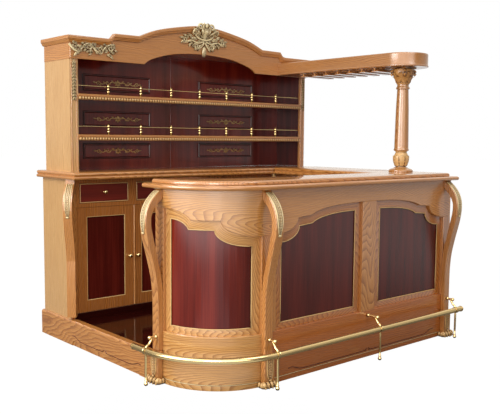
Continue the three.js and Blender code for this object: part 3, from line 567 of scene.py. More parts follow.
def framed_panel(side, place, inner, outer, finish):
    """The moulded frame of one panel, with a gilt bead on its inner edge."""
    inner_loop, outer_loop = loop(inner, PANEL_FOOT), loop(outer, FRAME_FOOT)
    loops = []
    grain = []
    for part, r in FRAME_STEPS:
        row = [place(a[0] + (b[0] - a[0]) * part, r, a[1] + (b[1] - a[1]) * part)
               for a, b in zip(outer_loop, inner_loop)]
        loops.append(row)
        run = 0
        for i, here in enumerate(row):
            run += (here - row[i - 1]).length / MM if i else 0
            grain.append((run, FRAME_FIGURE + FRAME_WIDE * part, r))
    piece("frame_" + side, hoop(loops), finish, sharp=50, grain=grain)
    bead = tube([place(s, FRAME_BEAD_R, z) for s, z in inner_loop], FRAME_BEAD, 10)
    piece("gilt_bead_" + side, bead, gilt_wood, sharp=60)


def front_face():
    """The frieze, the lower board, the posts and the three framed panels."""
    curved = scallop(*CURVED_FRAME)
    left, right = scallop(*FLAT_FRAME), scallop(*mirrored(FLAT_FRAME))
    frieze(curved, left, right)
    swept("lower_board", bar_edge(BODY_FOOT, FRAME_FOOT), BODY_LEFT, BODY_RIGHT, oak_base,
          level=LOWER_LEVEL, bevel=2)
    post("post_corner", on_corner, POST_TURN, 90, CORNER_LOW, 2)
    post("post_front", on_front, 0, POST_X, FRONT_LOW)
    post("post_right", on_front, 2 * STILE_X - POST_X, BODY_RIGHT, FRONT_LOW)
    post("centre_stile", on_front, STILE_LEFT, 2 * STILE_X - STILE_LEFT, HEAD_TOP)
    post("post_left", lambda s, r, z: at(-r, s, z), BODY_LEFT, POST_LEFT_END, HEAD_TOP)
    framed_panel("corner", on_corner, scallop(*CURVED_HEAD), curved, oak_corner)
    framed_panel("left", on_front, scallop(*FLAT_HEAD), left, oak_front)
    framed_panel("right", on_front, scallop(*mirrored(FLAT_HEAD)), right, oak_front)


BASE_OUTLINE = [(350, 0), (394, 0), (394, 26), (391.5, 27.5), (391.5, 30.5), (393, 32), (393, 130),
                (392.6, 139), (391, 146), (388.6, 149), (388.6, 151), (391, 154), (390.5, 159), (388, 162),
                (350, 162)]
BASE_LEFT, BASE_RIGHT = 74.7, 1690
BASE_LINE = (393.5, 29)
BASE_LINE_LEFT, BASE_LINE_SIZE = 78, 1.6
LIP_OUTLINE = [(350, 1052), (430, 1052), (438, 1053.5), (444, 1058), (446, 1065), (444.5, 1071), (440, 1075),
               (434, 1077), (426, 1078), (350, 1078)]
LIP_R = 446
LIP_LEFT = 112
COUNTER_LOW, COUNTER_END = 1052, 1685


def counters():
    """The base with its rounded top and gilt line, and the counter's overhanging lip."""
    swept("base_moulding", BASE_OUTLINE, BASE_LEFT, BASE_RIGHT, oak_base,
          stands_for=("front_base",), sharp=28)
    swept("counter_lip", LIP_OUTLINE, LIP_LEFT, COUNTER_END, oak_swept,
          stands_for=("front_counter_moulding",), sharp=28)
    end = drawn(LIP_OUTLINE, (GAP - BOARD_BACK, LIP_LEFT), lambda r, z, y: at(COUNTER_END - LIP_R + r, y, z))
    piece("counter_lip_end", end, oak_y, sharp=28)
    line = [spot(row, *BASE_LINE) for row in along_bar(BASE_LINE_LEFT, COUNTER_END)]
    piece("base_gilt_line", tube(line, BASE_LINE_SIZE, 8), gilding, sharp=60)


LEG_OUTER = ((404, 1040), (440, 1010), (470, 974), (489, 932), (496, 888), (494, 840), (483, 778), (455, 672),
             (431, 566), (421, 470), (419, 370), (419, 178))
LEG_INNER = ((391, 996), (430, 958), (455, 912), (459, 874), (456, 838), (444, 783), (420, 679), (398, 590),
             (390, 520))
LEG_FOOT = [[387, 178], [387, 500]]
LEG_HEAD = [[387, 1010], [387, 1050], [395, 1050]]
LEG_HALF = 28
LEG_FACE = 419
LEG_RIGHT = 1628
LEG_PLACES = {"leg_left": ((0, 28), (-1, 0)), "leg_middle": ((0, 0), (0, -1)),
              "leg_right": ((LEG_RIGHT, 0), (0, -1))}
LEAF_LOW, LEAF_TOP = 818, 1038
LEAF_LINE = [p for p in curve_through(LEG_OUTER[:8], 16) if LEAF_LOW < p[1] < LEAF_TOP]
BLOCK_OUTLINE = ((394.5, -36), (430, -36), (430, 36), (394.5, 36))
BLOCK_ENDS = (20, 178)
BLOCK_LEAF = [(430, 168 - 3 * i) for i in range(44)]
LEG_LEAF_HALF, BLOCK_LEAF_HALF, CORBEL_LEAF_HALF = 25, 27, 22
PAD_OUTLINE = ((394.5, -50), (430, -52), (444, -38), (444, 38), (430, 52), (394.5, 50))
PAD_LEVELS = (0.5, 20, 26)
TOES = (-44, -22, 0, 22, 44)
TOE_REACH = 440
TOE_UP, CLAW_UP, HEEL_UP = 19, 6, 17
TOE_SIZE, CLAW_SIZE, HEEL_SIZE = (17, 11, 18), (6, 5, 5.5), (10, 7, 16)
CLAW_OUT = 14
HEELS = ((404, -52), (404, 52), (422, -52), (422, 52))
BAND_STEPS = 16
BARB_GAP = 14
RIB_HIGH, RIB_SUNK = 6.5, 2
BAND_THICK = 3
BAND_TIP = (8, 11, 7)


def beside(place, r, w, z):
    """A point r out from a leg's place, w to its side, z up."""
    (x, y), (ox, oy) = place
    return at(x + ox * r - oy * w, y + oy * r + ox * w, z)


def neighbours(line, i):
    """The run and rise of a line about its point i."""
    before, after = line[max(i - 1, 0)], line[min(i + 1, len(line) - 1)]
    return after[0] - before[0], after[1] - before[1]


def band(name, point, line, wide, finish):
    """A carved leaf laid along a line of (r, z): two barbed ribs between two plain ones, and a curled tip."""
    sections = []
    far = 0
    for i, (r, z) in enumerate(line):
        run, rise = neighbours(line, i)
        size = math.hypot(run, rise)
        out, up = -rise / size, run / size
        far += math.hypot(r - line[i - 1][0], z - line[i - 1][1]) if i else 0
        half = wide * (1 - 0.7 * (i / (len(line) - 1)) ** 6)
        row = []
        for j in range(2 * BAND_STEPS + 1):
            w = -1 + j / BAND_STEPS
            rib = abs(math.sin(2 * math.pi * w)) ** 0.7
            if abs(w) < 0.5:
                rib *= 0.8 + 0.35 * math.sin(2 * math.pi * (far / BARB_GAP + abs(w)))
            high = RIB_HIGH * rib - RIB_SUNK
            row.append(point(r + out * high, half * w, z + up * high))
        row += [point(r - BAND_THICK * out, w, z - BAND_THICK * up) for w in (half, -half)]
        sections.append(row)
    r, z = line[-1]
    tip = lump(point, (r + BAND_THICK, 0, z), BAND_TIP)
    return piece(name, merged([skin(sections), tip]), finish, sharp=70)


def leg(name, place):
    """One scrolled bracket leg with its carved leaf, block and paw."""
    def point(r, w, z):
        return beside(place, r, w, z)

    outer = curve_through(LEG_OUTER, 6)
    inner = curve_through(LEG_INNER, 6)
    outline = outer + LEG_FOOT + inner[::-1] + LEG_HEAD
    scroll = drawn(outline, (-LEG_HALF, LEG_HALF), lambda r, z, w: point(r, w, z))
    piece(name + "_scroll", scroll, oak_z, bevel=5, stands_for=(name,), sharp=40)
    band(name + "_leaf", point, LEAF_LINE, LEG_LEAF_HALF, gilt_leaf)
    piece(name + "_block", drawn(BLOCK_OUTLINE, BLOCK_ENDS, point), oak_z, bevel=4)
    band(name + "_block_leaf", point, BLOCK_LEAF, BLOCK_LEAF_HALF, gilt_wood)
    parts = [drawn(PAD_OUTLINE, PAD_LEVELS, point)]
    for w in TOES:
        reach = TOE_REACH - abs(w) * 0.2
        parts.append(lump(point, (reach, w, TOE_UP), TOE_SIZE))
        parts.append(lump(point, (reach + CLAW_OUT, w, CLAW_UP), CLAW_SIZE))
    for r, w in HEELS:
        parts.append(lump(point, (r, w, HEEL_UP), HEEL_SIZE))
    piece(name + "_paw", merged(parts), gilt_wood, sharp=60)


RAIL_R, RAIL_Z, RAIL_SIZE = 490, 190, 17
RAIL_LEFT, RAIL_RIGHT = 137, 1696
RAIL_CAP = [(16.5, -12), (19, -11), (19, -4), (17, -2), (16.5, 1), (12, 5), (5, 7), (0, 7.5)]
STUD_Z, STUD_END = 257, 462
STUD_SIZE, WALL_BALL, END_BALL, ARM_SIZE = 7, 10.5, 11, 6.5
BRACKET_ARM = ((440, 257), (452, 250), (468, 226), (484, 214), (490, 204))
COLLAR = [(16, -12), (20, -11), (20.5, -6), (19, -4), (19, 4), (20.5, 6), (20, 11), (16, 12)]
ROD = [(6, 0.5), (9, 3), (11.5, 9), (10, 15), (6, 22), (9, 26), (6, 30), (6.6, 60), (7, 160), (5, 174)]
BRACKETS = ((((0, 12), (-1, 0)), LEG_FACE), (((0, 0), (0, -1)), LEG_FACE), (((STILE_X, 0), (0, -1)), FACE_R),
            (((LEG_RIGHT, 0), (0, -1)), LEG_FACE))


def bracket(place, start):
    """A stud with a ball at each end, a curved arm, a collar on the rail and a turned rod to the floor."""
    def point(r, z):
        return beside(place, r, 0, z)

    side = Vector((-place[1][1], place[1][0], 0))
    return merged([tube([point(start + 2, STUD_Z), point(STUD_END, STUD_Z)], STUD_SIZE, 14),
                   ball(point(start + 7, STUD_Z), WALL_BALL),
                   ball(point(STUD_END + 4, STUD_Z), END_BALL),
                   tube([point(r, z) for r, z in curve_through(BRACKET_ARM, 6)], ARM_SIZE, 12),
                   turned(COLLAR, point(RAIL_R, RAIL_Z), side, 24),
                   turned(ROD, point(RAIL_R, 0), count=16)])


def rail_and_brackets():
    """The brass foot rail with its end caps, and its four brackets."""
    line = [spot(row, RAIL_R, RAIL_Z) for row in along_bar(RAIL_LEFT, RAIL_RIGHT, 60)]
    caps = [turned(RAIL_CAP, end, way, 24) for end, way in ((line[0], Vector((0, 1, 0))),
                                                            (line[-1], Vector((1, 0, 0))))]
    piece("foot_rail", merged([tube(line, RAIL_SIZE, 24)] + caps), brass, stands_for=("footrail",), sharp=40)
    for i, (place, start) in enumerate(BRACKETS, 1):
        piece("bracket_%d" % i, bracket(place, start), brass, stands_for=("rail_bracket_%d" % i,), sharp=45)


SLAB_R, SLAB_IN_R = 402, 105
SLAB_LEFT, SLAB_LEFT_END, SLAB_END, SLAB_BACK = -392, 96, 1640, 110
RETURN_IN, RETURN_FRONT, RETURN_BACK = 1215, 112.3, 856.7
BACK_LEFT, BACK_FRONT, BACK_WALL = -448, 857, 1372
SLAB_EDGE = [(4, 1078.3), (1, 1080), (0, 1084), (1, 1091), (5, 1097), (9, 1099), (14, 1100)]
BACK_EDGE = [(13, 1052), (4, 1054), (0, 1060), (0, 1066), (3, 1071), (10, 1074), (10, 1077), (5, 1080),
             (3, 1086), (5, 1092), (10, 1096.5), (17, 1098)]
RETURN_EDGE = BACK_EDGE[:-1] + [(17, 1100)]
DROP = [(0, -31), (7, -30), (12, -26), (15, -20), (14, -14), (11, -11), (12, -8), (17, -6), (17, -1), (15, 0),
        (0, 0)]
DROP_IN = 14


def front_ring(d):
    """The front counter's outline, d in from its edge: rounded corner, right end and inner side."""
    arc = [(-(SLAB_R - d) * c, -(SLAB_R - d) * s) for c, s in quarter(40)]
    right = [(SLAB_END - d, d - SLAB_R), (SLAB_END - d, SLAB_BACK - d), (RETURN_IN + d, SLAB_BACK - d),
             (RETURN_IN + d, -SLAB_IN_R - d)]
    inner = [(-(SLAB_IN_R + d) * s, -(SLAB_IN_R + d) * c) for c, s in quarter(12)]
    ends = [(SLAB_LEFT + d, SLAB_LEFT_END - d), (-SLAB_IN_R - d, SLAB_LEFT_END - d)]
    return ends[:1] + arc + right + inner + ends[1:]


def back_ring(d):
    """The back counter's outline, with its edge moulding on three sides."""
    left, right = BACK_LEFT + d, COUNTER_END - d
    return [(left, BACK_WALL), (left, BACK_FRONT + d), (right, BACK_FRONT + d), (right, BACK_WALL)]


def return_ring(d):
    """The return counter's outline, with its edge moulding on its two long sides."""
    left, right = RETURN_IN + d, COUNTER_END - d
    return [(left, RETURN_BACK), (left, RETURN_FRONT), (right, RETURN_FRONT), (right, RETURN_BACK)]


def slab(name, edge, ring_at, finish, node):
    """A counter top whose edge moulding is a set of (inset, z) rings."""
    shape = skin([[at(x, y, z) for x, y in ring_at(inset)] for inset, z in edge])
    piece(name, shape, finish, stands_for=(node,), sharp=30)


def slabs():
    """The three counter tops, and the turned drop under their inner corner."""
    slab("front_slab", SLAB_EDGE, front_ring, oak_top, "front_counter_top")
    slab("back_slab", BACK_EDGE, back_ring, oak_top, "back_counter_top")
    drop = turned(DROP, at(RETURN_IN + DROP_IN, BACK_FRONT + DROP_IN, COUNTER_LOW), count=24)
    piece("counter_drop", drop, gilt_wood, sharp=40)
    slab("return_slab", RETURN_EDGE, return_ring, oak_return, "return_counter_top")


CABINET_Y = 985
HUTCH_MID = 630.5
HUTCH_LEFT = -344.5
HUTCH_END = 1322
HUTCH_ENDS = (1098.3, 1905)
STILE_RIGHT = (1615, 1663)
CORNICE_HALF = 1034.5
CORNICE_Y, CORNICE_BACK, CORNICE_LOW, CORNICE_TOP = 972, 984.7, 1803, 1939
ARM_X, ARM_Y, ARM_Z, ARM_R = 1514, -95, 1802, 162
HEAD_LINE = ((-CORNICE_HALF, CORNICE_TOP), (-776, CORNICE_TOP), (-752, 1946), (-728, 1975))
HEAD_ARCH = ((-542, 1977), (-386, 2035), (-140, 2082), (0, 2092), (140, 2082), (386, 2035), (542, 1977))
UNDER_ARCH = ((-492, 1800), (-428, 1839), (-246, 1885), (0, 1900), (246, 1885), (428, 1839), (492, 1800))
# The crown's section: how far down from the head, and how far out.
CROWN = ((0, -12), (0, 21), (2, 22.5), (7, 23.2), (21, 22.8), (23.5, 20), (28, 17), (33, 15), (36, 13),
         (39, 11.4), (41.5, 6), (42, 0), (42, -12))
CROWN_LAP = 20
SIDE_BEAD, SIDE_BEAD_SIZE = 1029, 5


def height(line, x):
    """The height of a line of (x, z) over x."""
    for (x0, z0), (x1, z1) in zip(line, line[1:]):
        if x0 <= x <= x1:
            return z0 + (z1 - z0) * (x - x0) / (x1 - x0)
    return line[0][1] if x < line[0][0] else line[-1][1]


def cornice():
    """The arched cornice board with its crown moulding, mitred at the corners and carried along the sides."""
    head = [list(p) for p in HEAD_LINE] + curve_through(HEAD_ARCH, 8) + [[-x, z] for x, z in HEAD_LINE[::-1]]
    under = curve_through(UNDER_ARCH, 8)
    sections = []
    for x in sorted({x for x, _ in head} | {x for x, _ in under}):
        low, high = height(under, x), height(head, x) - CROWN_LAP
        outline = ((CORNICE_Y, low), (CORNICE_Y, high), (CORNICE_BACK, high), (CORNICE_BACK, low))
        sections.append([at(HUTCH_MID + x, y, z) for y, z in outline])
    piece("cornice_board", skin(sections), oak_x, bevel=3, stands_for=("cornice_front",))
    leans = [-1] + [0] * (len(head) - 2) + [1]
    sections = [[at(HUTCH_MID + x + lean * proud, CORNICE_Y - proud, z - drop) for drop, proud in CROWN]
                for (x, z), lean in zip(head, leans)]
    piece("cornice_crown", skin(sections), oak_x, sharp=30)
    for side, name in ((-1, "left"), (1, "right")):
        mitre = [CORNICE_Y - proud for _, proud in CROWN]
        square = [HUTCH_END] * len(CROWN)
        sections = [[at(HUTCH_MID + side * (CORNICE_HALF + proud), y, CORNICE_TOP - drop)
                     for (drop, proud), y in zip(CROWN, ends)] for ends in (mitre, square)]
        piece("cornice_crown_" + name, skin(sections), oak_y, sharp=30)
        x = HUTCH_MID + side * SIDE_BEAD
        bead = tube([at(x, CORNICE_Y - 1, CORNICE_LOW), at(x, HUTCH_END, CORNICE_LOW)], SIDE_BEAD_SIZE, 12)
        piece("cornice_bead_" + name, bead, oak_y, sharp=50)


# The canopy's edge: how far up, and how far out.
ARM_EDGE = ((0, 1), (1.5, 3), (5, 4), (8.5, 3.4), (11, 1), (13, 0), (78, 0), (84, -0.8), (87.5, -3), (89, -7))
ARM_JOINT, ARM_MID = 971.7, 400
ARM_STEPS = 40


def canopy():
    """The canopy arm with its rounded end."""
    turns = [math.pi * i / ARM_STEPS for i in range(ARM_STEPS + 1)]
    sections = []
    grain = []
    for up, grow in ARM_EDGE:
        r = ARM_R + grow
        row = [(ARM_X + r, ARM_JOINT), (ARM_X + r, ARM_MID)]
        row += [(ARM_X + r * math.cos(turn), ARM_Y - r * math.sin(turn)) for turn in turns]
        row += [(ARM_X - r, ARM_MID), (ARM_X - r, ARM_JOINT)]
        sections.append([at(x, y, ARM_Z + up) for x, y in row])
        grain += [(y, ARM_Z + up, x) for x, y in row]
    piece("canopy", skin(sections), oak_arm, grain=grain, stands_for=("canopy_arm",), sharp=32)


COLUMN_FOOT = 1100.3
COLUMN_BASE = [(0, 0), (82, 0), (83.5, 4), (82, 10), (76, 15), (73, 18), (58, 22), (47, 27), (44, 31),
               (37, 33), (0, 33)]
SHAFT = [(0, 143), (50, 143), (51.5, 147), (51.5, 151), (50, 155), (48, 158), (48, 168), (47, 230),
         (43.5, 420), (38.4, 554), (41, 556), (45, 559), (46, 563), (45.4, 569), (42, 573), (39, 578),
         (39, 589), (0, 589)]
VASE = [(0, 31), (37, 31), (35, 37), (37, 44), (43, 56), (47, 70), (50, 84), (49, 96), (46, 110), (41, 123),
        (37, 132), (39, 137), (46, 141), (49, 145), (0, 145)]
LOBE_SWELL, LOBE_LOW, LOBE_TALL = 0.07, 40, 90
VASE_LEAF = (38, 84, 15, ((0, 36), (0.4, 47), (0.7, 49), (1, 47)))
BELL = [(0, 588), (39, 588), (42, 598), (46, 612), (54, 628), (63, 642), (68, 656), (69, 672), (66, 692),
        (0, 692)]
BELL_RING = [(39, 590), (44, 592), (45, 596), (44, 600), (40, 602)]
LOW_LEAF = (600, 48, 14, ((0, 42), (0.5, 50), (0.8, 60), (1, 72)))
HIGH_LEAF = (612, 66, 14, ((0, 46), (0.5, 60), (0.8, 69), (1, 80)))
LEAVES_ROUND = 8
LEAF_THICK, LEAF_SUNK = 6, 3
LEAF_ROWS, LEAF_HALF_STEPS = 14, 4
SCROLL_STEPS, SCROLL_R, SCROLL_OUT, SCROLL_UP = 22, 20, 63, 669
# Each step of a scroll: its turn in radians, the share of its radius that goes, and how much thinner it gets.
SCROLL_START, SCROLL_TURN, SCROLL_TIGHTEN = -1.2, 0.42, 1 / 26
SCROLL_THICK, SCROLL_TAPER = 9, 0.2
SQUARE_LEVELS = ((5, 693), (0, 697), (0, 704), (2, 707))
SQUARE_HALF, SQUARE_DIP, SQUARE_STEPS = 62, 6, 8


def acanthus(foot, turn, low, tall, half, bend):
    """One carved leaf standing round a turned piece: lobed edges, a midrib and a tip that curls out."""
    way = Vector((math.cos(turn), math.sin(turn), 0))
    side = Vector((-math.sin(turn), math.cos(turn), 0))
    sections = []
    for i in range(LEAF_ROWS + 1):
        part = i / LEAF_ROWS
        r = height(bend, part)
        wide = half * (0.7 + 0.5 * math.sin(math.pi * part)) * (1 - 0.16 * math.cos(8 * math.pi * part))
        wide *= 1 - 0.7 * part ** 6
        z = low + tall * (part - 0.06 * max(part - 0.85, 0) * 20 * part)
        marks = []
        for j in range(2 * LEAF_HALF_STEPS + 1):
            w = -1 + j / LEAF_HALF_STEPS
            lift = LEAF_THICK * (0.35 + 0.65 * (1 - abs(w)) ** 0.7) + 0.8 * math.cos(4 * math.pi * w)
            marks.append((r + lift, w))
        marks += [(r - LEAF_SUNK, w) for w in (1, 0, -1)]
        sections.append([foot + way * (out * MM) + side * (w * wide * MM) + UP * (z * MM)
                         for out, w in marks])
    return skin(sections)


def capital_scroll(foot, turn):
    """A scroll that winds in under one corner of the capital."""
    way = Vector((math.cos(turn), math.sin(turn), 0))
    line = []
    for s in range(SCROLL_STEPS):
        r, wind = SCROLL_R * (1 - s * SCROLL_TIGHTEN), s * SCROLL_TURN + SCROLL_START
        line.append(foot + way * ((SCROLL_OUT + r * math.cos(wind)) * MM)
                    + UP * ((SCROLL_UP + r * math.sin(wind)) * MM))
    return tube(line, [SCROLL_THICK - SCROLL_TAPER * s for s in range(SCROLL_STEPS)], 10)


def capital_square(foot):
    """The square slab on the capital, hollowed on its four sides."""
    sections = []
    for inset, up in SQUARE_LEVELS:
        row = []
        half = SQUARE_HALF - inset
        for k in range(4):
            turn = math.pi / 2 * k
            for j in range(SQUARE_STEPS):
                a = -half + 2 * half * j / SQUARE_STEPS
                b = -half + SQUARE_DIP * math.sin(math.pi * j / SQUARE_STEPS)
                row.append(foot + Vector((a * math.cos(turn) - b * math.sin(turn),
                                          a * math.sin(turn) + b * math.cos(turn), up)) * MM)
        sections.append(row)
    return skin(sections)


def column():
    """The turned oak column on a gilt leaf vase, under a carved capital with leaves and corner scrolls."""
    foot = at(ARM_X, ARM_Y, COLUMN_FOOT)
    turned_oak = merged([turned(COLUMN_BASE, foot, count=48), turned(SHAFT, foot, count=48)])
    piece("column", turned_oak, oak_turned, stands_for=("column_shaft",), sharp=35)

    def lobed(turn, h):
        part = min(max((h - LOBE_LOW) / LOBE_TALL, 0), 1)
        return 1 + LOBE_SWELL * abs(math.cos(4 * turn)) * math.sin(math.pi * part)

    step = 2 * math.pi / LEAVES_ROUND
    parts = [turned(VASE, foot, count=64, lobes=lobed)]
    parts += [acanthus(foot, step * k, *VASE_LEAF) for k in range(LEAVES_ROUND)]
    piece("column_vase", merged(parts), gilt_wood, sharp=55)
    parts = [turned(BELL, foot, count=40), turned(BELL_RING, foot)]
    for k in range(LEAVES_ROUND):
        parts.append(acanthus(foot, step * k, *LOW_LEAF))
        parts.append(acanthus(foot, step * (k + 0.5), *HIGH_LEAF))
    parts += [capital_scroll(foot, math.pi / 4 + math.pi * k / 2) for k in range(4)]
    parts.append(capital_square(foot))
    piece("capital", merged(parts), gilt_oak, stands_for=("column_capital",), sharp=55)


SHELF_TOPS = {"lower": 1333, "upper": 1588}
# A shelf's front edge: how far back, and how far up from its top.
SHELF_EDGE = ((990, -36.8), (985, -36.8), (982, -33), (982, -17), (979, -15), (978, -11), (979, -3),
              (982, -0.4), (990, -0.2))
BEADS, BEAD_START, BEAD_STEP = 97, -334, 20.17
BEAD_Y, BEAD_UP = 980, -26
BEAD_SIZE = (8.6, 8, 9.5)
STILE_BACK, OAK_SKIN, LINING = 1006.7, 10, 22
SEAM = ((563.5, 1280), (564.5, 1278.6), (567.5, 1278.6), (568.5, 1280))
SEAM_ENDS = (1100, 1903)
GALLERY_POST = [(0, 0), (11, 0), (11.5, 3), (7, 6), (4.5, 9), (9.5, 13), (11, 18), (9.5, 23), (4.5, 27),
                (8.5, 31), (10, 35.5), (8.5, 40), (4.5, 44), (9.5, 48), (11, 53), (9.5, 58), (5, 62),
                (7.5, 65), (8, 68), (5, 71), (0, 72)]
GALLERY_Y, GALLERY_UP, GALLERY_ROD = 1005, 51, 2.6
POSTS, POST_START, POST_STEP = 7, -119, 247


def gallery():
    """The two brass galleries on the shelves: stacked-bead posts with one thin rod."""
    for level, top in SHELF_TOPS.items():
        z = top + GAP
        ends = (HUTCH_LEFT + 0.5, STILE_RIGHT[0] - 1)
        parts = [tube([at(x, GALLERY_Y, z + GALLERY_UP) for x in ends], GALLERY_ROD, 10)]
        for i in range(POSTS):
            parts.append(turned(GALLERY_POST, at(POST_START + POST_STEP * i, GALLERY_Y, z), count=16))
        piece("gallery_posts_" + level, merged(parts), brass, stands_for=("gallery_" + level,), sharp=50)


def hutch():
    """The shelves' oak edges with bead rows, the right side's oak and its lining, and the back's seam."""
    inner, outer = STILE_RIGHT
    for level, top in SHELF_TOPS.items():
        edge = drawn([(y, top + z) for y, z in SHELF_EDGE], (HUTCH_LEFT, inner - 0.5), across)
        piece("shelf_edge_" + level, edge, oak_x, sharp=30)
        beads = [lump(at, (BEAD_START + BEAD_STEP * i, BEAD_Y, top + BEAD_UP), BEAD_SIZE, SMALL_BALL)
                 for i in range(BEADS)]
        piece("shelf_beads_" + level, merged(beads), gilt_wood, sharp=70)
    oak = [(inner, CABINET_Y), (outer, CABINET_Y), (outer, HUTCH_END), (outer - OAK_SKIN, HUTCH_END),
           (outer - OAK_SKIN, STILE_BACK), (inner, STILE_BACK)]
    piece("hutch_right_oak", drawn(oak, HUTCH_ENDS, at), oak_z, stands_for=("hutch_side_right",), bevel=2)
    near, far = outer - LINING, outer - OAK_SKIN - GAP
    front = STILE_BACK + GAP
    lining = [(near, front), (far, front), (far, HUTCH_END), (near, HUTCH_END)]
    piece("hutch_right_lining", drawn(lining, HUTCH_ENDS, at), mahogany_deep, bevel=1)
    piece("hutch_back_seam", drawn(SEAM, SEAM_ENDS, at), mahogany_satin, sharp=60)


FOUR = (1, 2, 3, 4)
DOOR_BAYS = ((-360, 464), (500, 1324))
DOOR_STILE, DOOR_GAP = 64, 2
DOOR_ENDS, DOOR_PANEL_ENDS = (197, 867), (268, 809)
DOOR_BEAD, DOOR_BEAD_Y, DOOR_KNOB_IN, DOOR_KNOB_Z = 3.4, 988, 30, 530
MEETING_BEAD = ((0, 984.8), (1, 981), (4, 978), (9, 978), (12, 981), (13, 984.8))
DRAWER_START, DRAWER_STEP = -342, 420
DRAWER_SIDES, DRAWER_ENDS = (3, 353), (902, 1019)
DRAWER_BEAD, DRAWER_BEAD_Y, DRAWER_KNOB_IN, DRAWER_KNOB_Z = 2.8, 984.5, 178, 965
KNOB = [(0, 0), (8.5, 0), (8.5, 2), (7, 4), (7.2, 7), (8.5, 9), (11.5, 11.5), (13.5, 15), (13.8, 18.5),
        (13.2, 22.5), (11, 26), (7, 28.4), (0, 29)]


def frame_bead(name, sides, ends, y, radius, body):
    """A gilt bead round an opening in the cabinet's front."""
    corners = [at(x, y, z) for x, z in zip(sides + sides[::-1], (ends[0], ends[0], ends[1], ends[1]))]
    parts = [tube([a, b], radius, 10) for a, b in zip(corners, corners[1:] + corners[:1])]
    piece(name, merged(parts), gilt_wood, body=body, sharp=60)


def knob(name, x, z, body):
    """A turned brass knob on the cabinet's front."""
    piece(name, turned(KNOB, at(x, CABINET_Y, z), FORWARD, 24), brass, body=body)


def door_trim(number, body):
    """A door's gilt bead and knob, and the bead that covers the gap between a pair."""
    start, end = DOOR_BAYS[(number - 1) // 2]
    middle = (start + end) / 2
    is_right = number % 2 == 0
    if is_right:
        x0, x1 = middle + DOOR_GAP / 2, end - DOOR_GAP
    else:
        x0, x1 = start + DOOR_GAP, middle - DOOR_GAP / 2
    sides = (x0 + DOOR_STILE, x1 - DOOR_STILE)
    frame_bead("door_bead_%d" % number, sides, DOOR_PANEL_ENDS, DOOR_BEAD_Y, DOOR_BEAD, body)
    if is_right:
        edge = drawn([(x0 + x, y) for x, y in MEETING_BEAD], DOOR_ENDS, at)
        piece("door_meeting_bead_%d" % number, edge, oak_z, body=body, sharp=30)
    knob_x = x0 + DOOR_KNOB_IN if is_right else x1 - DOOR_KNOB_IN
    knob("door_knob_%d" % number, knob_x, DOOR_KNOB_Z, body)


def drawer_trim(number, body):
    """A drawer's gilt bead and knob."""
    x0 = DRAWER_START + DRAWER_STEP * (number - 1)
    sides = tuple(x0 + x for x in DRAWER_SIDES)
    frame_bead("drawer_bead_%d" % number, sides, DRAWER_ENDS, DRAWER_BEAD_Y, DRAWER_BEAD, body)
    knob("drawer_knob_%d" % number, x0 + DRAWER_KNOB_IN, DRAWER_KNOB_Z, body)


def doors_and_drawers():
    """Gilt beads and brass knobs, riding on the doors and drawers."""
    for number in FOUR:
        door_trim(number, "door_leaf_%d" % number)
        drawer_trim(number, "drawer_box_%d" % number)


TOE_ENDS = (-384, 1344)
TOE_OUTLINE = ((984.7, 146), (981, 146), (981, 187), (981.6, 190), (983, 191.5), (984.7, 192))


def toe_shade_board():
    """A dark board under the doors, with a rounded top edge, in near-black mahogany: it stands in for the
    shaded strip below the doors, painted shade.
    """
    piece("toe_shade_board", drawn(TOE_OUTLINE, TOE_ENDS, across), mahogany_deck, sharp=30)


STROKE_SIDES = 10
LEAF_STEPS = 10
# A flat leaf's section: how far across, and how far up.
LEAF_SECTION = ((-1, 0.15), (-0.55, 0.8), (-0.12, 0.75), (0, 1), (0.12, 0.75), (0.55, 0.8), (1, 0.15),
                (0.6, -0.4), (-0.6, -0.4))
CURL_STEPS = 14
CROWN_STEP, CROWN_RISE = 24, 22


def stroke(to, marks, thick, thin):
    """A carved tendril through (a, b) marks on a face, thick at its start and thin at its end."""
    line = curve_through(marks, 5)
    sections = []
    for i, (a, b) in enumerate(line):
        run, rise = neighbours(line, i)
        size = math.hypot(run, rise) or 1
        r = thick + (thin - thick) * i / (len(line) - 1)
        row = []
        for k in range(STROKE_SIDES):
            turn = 2 * math.pi * k / STROKE_SIDES
            c = r * math.cos(turn)
            row.append(to(a - rise / size * c, b + run / size * c, r * (0.4 + math.sin(turn))))
        sections.append(row)
    return skin(sections)


def leaf(to, a, b, angle, length, half, high):
    """A carved leaf on a face, from (a, b) in a direction in degrees: pointed, ribbed down its middle."""
    turn = math.radians(angle)
    run, rise = math.cos(turn), math.sin(turn)
    sections = []
    for i in range(LEAF_STEPS + 1):
        part = i / LEAF_STEPS
        far = length * part
        wide = half * max(math.sin(math.pi * part ** 0.75), 0.04) * (1 + 0.12 * math.cos(6 * math.pi * part))
        lift = high * (0.35 + 0.65 * math.sin(math.pi * min(part * 1.1, 1)))
        sections.append([to(a + run * far - rise * wide * w, b + rise * far + run * wide * w, lift * up)
                         for w, up in LEAF_SECTION])
    return skin(sections)


def curl(a, b, radius, start, turns):
    """Marks of a scroll that winds in to (a, b) from an angle in degrees."""
    marks = []
    for i in range(CURL_STEPS + 1):
        part = i / CURL_STEPS
        turn = math.radians(start) + 2 * math.pi * turns * part
        r = radius * (1 - 0.82 * part)
        marks.append((a + r * math.cos(turn), b + r * math.sin(turn)))
    return marks


def facing(x, z, y, flip=1, over=None):
    """Places carving on a face that looks to the front; above over, it rides on the crown."""
    def to(a, b, h):
        step = 0 if over is None else CROWN_STEP * min(max((b - over) / CROWN_RISE, 0), 1)
        return at(x + flip * a, y - step - h, z + b)

    return to


CREST_X, CREST_Z, CREST_Y, CREST_OVER = 632, 2003, 969, 26
CREST_BOSS, CREST_BOSS_R = (632, 944, 2096), 17
